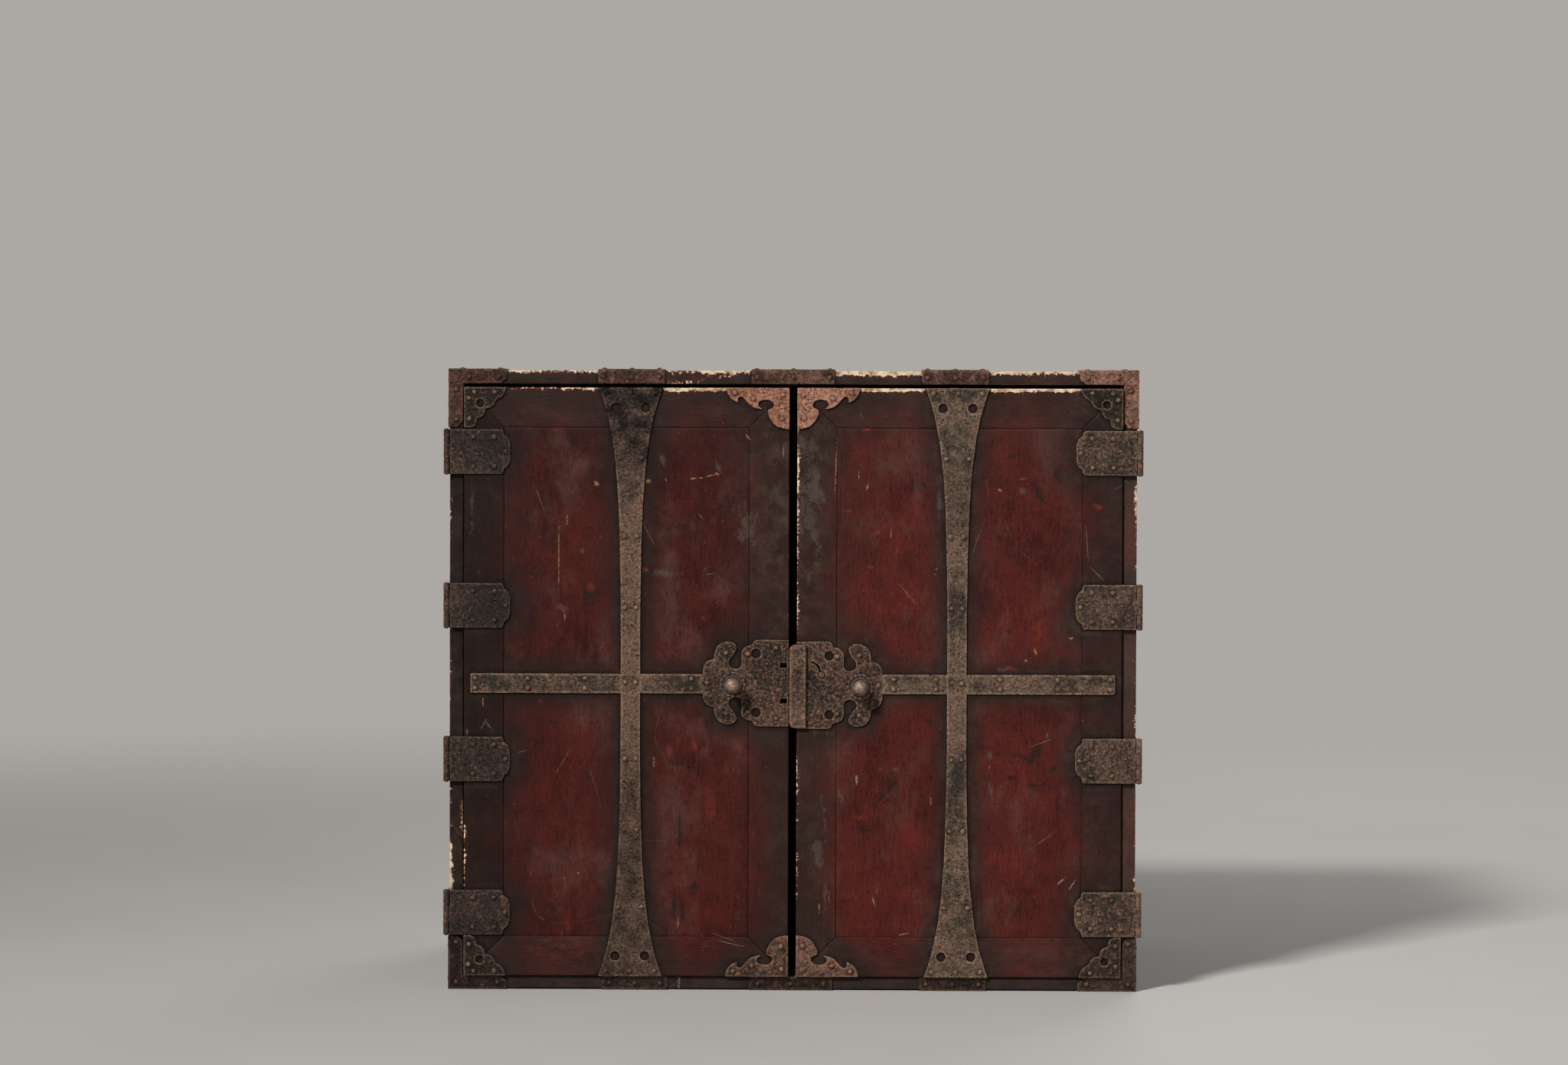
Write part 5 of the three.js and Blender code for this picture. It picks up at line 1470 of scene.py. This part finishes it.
# The right hinges take the lighter copy of the iron, as painted light, and the left ones the darker, as
# painted shade
for side, x_sign in (("left", -1), ("right", 1)):
    for i in range(1, 5):
        low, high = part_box(f"hinge_door_leaf_{side}_{i}")
        middle = (low.z + high.z) / 2
        leaf_iron = irons["hinge_" + side]
        hinges.append(door_leaf(f"hinge_door_leaf_{side}_{i}", leaf_iron, x_sign, middle))
        hinges.append(case_leaf(f"hinge_case_leaf_{side}_{i}", leaf_iron, x_sign, middle))
print("hinge leaves:", len(hinges))

# %% [markdown]
# ## Knobs
#
# A knob is four things on one shank: a rosette of sixteen petals, a milled washer, a ball, and
# behind the door the clinched end. All of them are spun from half a profile. A wave that runs
# with the angle round the shank then draws the rosette in between its petals, and cuts the
# teeth of the washer.

# %% Profiles of the knob
BALL_RADIUS = 0.0103
BALL_STEPS = 14
KNOB_REACH = 0.030
NECK = 0.0062
ROSETTE_RADIUS = 0.0169
PETALS = 16
PETAL_POINTS = 8
TROUGH = 0.0009
WASHER_RADIUS = 0.0122
WASHER_TEETH = 26
TOOTH_POINTS = 6
WASHER_HEIGHT = 0.0046
SHANK = 0.004
CLINCH = 0.008
SPIN_STEPS = 40

# Each point of a profile is its radius and its height over the plate's face
ROSETTE = [
    (ROSETTE_RADIUS, -0.0002), (ROSETTE_RADIUS, TROUGH), (ROSETTE_RADIUS - 0.0005, 0.0021),
    (ROSETTE_RADIUS - 0.0014, 0.0025), (ROSETTE_RADIUS - 0.0023, 0.0021),
    (ROSETTE_RADIUS - 0.0031, TROUGH), (WASHER_RADIUS * 0.85, TROUGH),
]
WASHER = [
    (WASHER_RADIUS, -0.001), (WASHER_RADIUS, WASHER_HEIGHT * 0.62),
    (WASHER_RADIUS - 0.0004, WASHER_HEIGHT * 0.88), (WASHER_RADIUS - 0.0012, WASHER_HEIGHT),
    (WASHER_RADIUS - 0.0022, WASHER_HEIGHT * 0.9), (WASHER_RADIUS - 0.0034, WASHER_HEIGHT * 0.74),
    (WASHER_RADIUS * 0.45, WASHER_HEIGHT * 0.7),
]


def ball_profile():
    centre = KNOB_REACH - BALL_RADIUS
    start = math.asin(NECK / BALL_RADIUS)
    curve = []
    for i in range(BALL_STEPS + 1):
        angle = start + (math.pi - start) * i / BALL_STEPS
        curve.append((BALL_RADIUS * math.sin(angle), centre - BALL_RADIUS * math.cos(angle)))
    curve[-1] = (0.0, KNOB_REACH)
    return [(NECK * 0.98, 0.001), (NECK, 0.0062), *curve]


def shank_profile(clinched):
    behind = clinched - 0.0012
    return [(SHANK, 0.001), (SHANK, -behind), (CLINCH, -behind), (CLINCH * 0.8, -clinched * 0.99),
            (0.0, -clinched)]


print("points in the profiles:", len(ROSETTE), len(WASHER), len(ball_profile()))

# %% Spin and bend


def share_between(value, low, high):
    return min(max((value - low) / (high - low), 0), 1)


def spun(bm, profile, x, z, steps=SPIN_STEPS):
    """Spins a profile about a line towards the viewer, and returns its points."""
    before = set(bm.verts)
    verts = [bm.verts.new((x + radius, PLATE_FACE - height, z)) for radius, height in profile]
    edges = [bm.edges.new(pair) for pair in zip(verts, verts[1:])]
    bmesh.ops.spin(bm, geom=verts + edges, cent=(x, 0, z), axis=(0, 1, 0), angle=math.tau,
                   steps=steps, use_merge=True)
    return [vert for vert in bm.verts if vert not in before]


def petal(radius, angle, height):
    """A raised rim that is let in and lower between its petals."""
    crest = abs(math.cos(angle * PETALS / 2))
    outward = share_between(radius, WASHER_RADIUS, ROSETTE_RADIUS)
    lowered = max(height - TROUGH, 0) * (1 - crest ** 0.8) * 0.6
    return 1 - 0.085 * outward * (1 - crest ** 0.6), lowered


def tooth(radius, angle, height):
    """Cuts filed across the rim of the washer, like the edge of a coin."""
    cut = 0.5 - 0.5 * math.cos(angle * WASHER_TEETH)
    outward = share_between(radius / WASHER_RADIUS, 0.76, 0.96)
    return 1 - 0.075 * outward * cut, 0.0011 * outward * cut * (height > WASHER_HEIGHT / 2)


def bend(verts, x, z, shape):
    """Draws points in towards the shank and lowers them, as shape says for their place on it."""
    for vert in verts:
        across, up = vert.co.x - x, vert.co.z - z
        place = (math.hypot(across, up), math.atan2(up, across), PLATE_FACE - vert.co.y)
        shrink, lowered = shape(*place)
        vert.co = Vector((x + across * shrink, vert.co.y + lowered, z + up * shrink))


def knob_hollow_shade(radius, angle, height):
    """Painted shade between the petals, in the cuts of the washer and under the ball."""
    valley = (1 - np.abs(np.cos(angle * PETALS / 2))) * (radius > WASHER_RADIUS) * 1.2
    cuts = (0.5 - 0.5 * np.cos(angle * WASHER_TEETH)) * (radius <= WASHER_RADIUS) * (height < 0.0062)
    under = np.clip(1 - (height - 0.005) / 0.006, 0, 1) * (radius < 0.0104)
    return np.clip(np.maximum(np.maximum(valley, cuts), under), 0, 0.9)


print("the rosette has", PETALS, "petals, and the washer", WASHER_TEETH, "teeth")

# %% The knobs
KNOB_PITS = 0.00022
knobs = []
for side in ("left", "right"):
    name = "knob_" + side
    low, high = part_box(name)
    x, z = (low.x + high.x) / 2, (low.z + high.z) / 2
    bm = bmesh.new()
    bend(spun(bm, ROSETTE, x, z, PETALS * PETAL_POINTS), x, z, petal)
    bend(spun(bm, WASHER, x, z, WASHER_TEETH * TOOTH_POINTS), x, z, tooth)
    spun(bm, ball_profile(), x, z)
    spun(bm, shank_profile(high.y - PLATE_FACE), x, z, 24)
    bmesh.ops.remove_doubles(bm, verts=bm.verts, dist=0.00001)
    bmesh.ops.recalc_face_normals(bm, faces=bm.faces)
    points = points_of(bm)
    across, up = points[:, 0] - x, points[:, 2] - z
    radius, angle, height = np.hypot(across, up), np.arctan2(up, across), PLATE_FACE - points[:, 1]
    crests = np.clip((height - TROUGH) / 0.0016, 0, 1) * 0.62 * (radius > BALL_RADIUS * 1.03)
    store(bm, "rim", np.maximum(np.clip(height / KNOB_REACH, 0, 1) ** 2.8, crests))
    # Painted shade in the hollows of the knob
    store(bm, "dirt_and_shade", knob_hollow_shade(radius, angle, height))
    for vert in bm.verts:
        vert.co += Vector(noise.noise_vector(vert.co * 95)) * KNOB_PITS
    knobs.append(finish_piece(bm, "iron_" + name, [irons["knob"]], [name]))
print("knobs:", [len(p.data.polygons) for p in knobs], "faces")

# %% [markdown]
# ## Lock
#
# The cover strip is the thickest piece of sheet on the chest. Its rims are already rounded in
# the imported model, so it only needs a finer mesh. The key slides over a round post that shows
# in the keyhole, and the bolt lies hidden in its pocket until it is thrown.

# %% Cover strip
bm = copy_of("lock_cover_strip")
lines = edge_lines(sharp_edges(bm, 20))
round_edges(bm, 0.0004, sharp_edges(bm, 18))
grid_cut(bm, 0.0026)
store(bm, "rim", rim_at(points_of(bm), lines) * 0.8)
hammer(bm, 1, 0.00016, 0.00045)
strip = finish_piece(bm, "iron_lock_cover_strip", [irons["strip"]], ["lock_cover_strip"])
print("cover strip:", len(strip.data.polygons), "faces")

# %% Key post and bolt
low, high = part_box("lock_key_post")
post_radius = (high.x - low.x) / 2
lying = Matrix.Translation((low + high) / 2) @ Matrix.Rotation(math.pi / 2, 4, "X")
bm = bmesh.new()
bmesh.ops.create_cone(bm, cap_ends=True, segments=28, radius1=post_radius, radius2=post_radius,
                      depth=high.y - low.y, matrix=lying)
front = min(bm.faces, key=lambda f: f.calc_center_median().y)
for inwards, ahead in ((0.0006, -0.0004), (0.0012, 0.0001)):
    bmesh.ops.inset_region(bm, faces=[front], thickness=inwards)
    bmesh.ops.translate(bm, verts=front.verts, vec=(0, ahead, 0))
store(bm, "rim", [0.5] * len(bm.verts))
post = finish_piece(bm, "iron_lock_key_post", [irons["lock"]], ["lock_key_post"])

bm = copy_of("lock_bolt")
round_edges(bm, 0.0005, sharp_edges(bm))
grid_cut(bm, 0.004)
store(bm, "rim", [0.3] * len(bm.verts))
hammer(bm, 1, 0.00008, 0.0001)
bolt = finish_piece(bm, "iron_lock_bolt", [irons["dark"]], ["lock_bolt"])
print("lock pieces:", strip.name, post.name, bolt.name)

# %% [markdown]
# ## Floor and light
#
# One large light at the upper left, in front, lets the nails and rims throw short shadows
# to the lower right. A wide, weak light on the right, one behind for the views from there,
# and a grey surround keep the shadows open. Their strengths were set with a grey card in the
# chest's place, so that a colour comes out about as it was written. The surround is dim for
# the chest, but a ray that shows the backdrop itself meets one even, paler grey. The pale
# floor fades into it with distance, so the horizon is soft.

# %% Floor
FLOOR_SIZE = 14.0
BACKDROP = srgb(172, 169, 164)


def backdrop_rays(tree):
    """1 for a ray that shows the background: seen straight, in a gloss, or through glass."""
    ray = add_node(tree, "ShaderNodeLightPath", {})
    seen = maths("MAXIMUM", ray.outputs["Is Camera Ray"], ray.outputs["Is Transmission Ray"])
    return maths("MAXIMUM", seen, ray.outputs["Is Glossy Ray"])


floor_tone, tree, shader, place = new_material("floor")
worn_floor = mix(speckle(place, 2.2, detail=5), srgb(178, 174, 168), srgb(188, 185, 180))
join(worn_floor, shader.inputs["Base Color"])
shader.inputs["Roughness"].default_value = 0.8
far = add_node(tree, "ShaderNodeVectorMath", {0: place}, operation="LENGTH").outputs["Value"]
haze = times(backdrop_rays(tree), ease(far, 0.9, 4.6))
glow = add_node(tree, "ShaderNodeEmission", {"Color": BACKDROP, "Strength": 1.0})
blend = add_node(tree, "ShaderNodeMixShader", {0: haze, 1: shader.outputs[0], 2: glow.outputs[0]})
join(blend.outputs[0], tree.nodes["Material Output"].inputs["Surface"])

bm = bmesh.new()
bmesh.ops.create_grid(bm, x_segments=1, y_segments=1, size=FLOOR_SIZE)
floor_mesh = bpy.data.meshes.new("floor")
bm.to_mesh(floor_mesh)
bm.free()
floor_mesh.materials.append(floor_tone)
floor = bpy.data.objects.new("floor", floor_mesh)
bpy.context.scene.collection.objects.link(floor)
floor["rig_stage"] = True
print("the floor is", floor.dimensions.x, "m wide")

# %% Lights


def hang_light(name, place, aim, size, power, spread=180.0):
    light = bpy.data.lights.new(name, "AREA")
    light.size = size
    light.energy = power
    light.spread = math.radians(spread)
    hung = bpy.data.objects.new(name, light)
    hung.location = place
    hung.rotation_mode = "QUATERNION"
    hung.rotation_quaternion = (Vector(aim) - Vector(place)).to_track_quat("-Z", "Y")
    bpy.context.scene.collection.objects.link(hung)


hang_light("key_light", (-3.6, -5.2, 5.56), (1.1, -0.2, 0.0), 1.2, 92, spread=64.0)
hang_light("fill_light", (2.4, -3.0, 1.3), (0.0, -0.2, 0.42), 2.2, 8)
hang_light("back_light", (1.6, 3.9, 2.6), (0.0, 0.25, 0.3), 2.2, 60)
print("lights and their watts:", {light.name: light.energy for light in bpy.data.lights})

# %% Surround
surround = bpy.data.worlds.new("surround")
surround.use_nodes = True
bpy.context.scene.world = surround
tree = surround.node_tree
lit = tree.nodes["Background"]
lit.inputs["Color"].default_value = (0.8, 0.8, 0.8, 1)
lit.inputs["Strength"].default_value = 0.15
seen = add_node(tree, "ShaderNodeBackground", {"Color": BACKDROP, "Strength": 1.0})
choice = add_node(tree, "ShaderNodeMixShader", {
    0: backdrop_rays(tree), 1: lit.outputs[0], 2: seen.outputs[0]})
join(choice.outputs[0], tree.nodes["World Output"].inputs["Surface"])
bpy.context.scene.view_settings.view_transform = "Standard"
print("the surround lights the chest at", round(lit.inputs["Strength"].default_value, 2), "of its grey")

# %% [markdown]
# ## Sizes
#
# The last cell prints how far the dressed chest reaches past the imported model, which must
# agree with it to a few millimetres.

# %% Sizes
dressed_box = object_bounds()
grown = [round((b - a) * 1000, 2) for a, b in zip(cad_box[1], dressed_box[1])]
print("the dressed chest reaches", grown, "mm past the packed one at its highest corner")
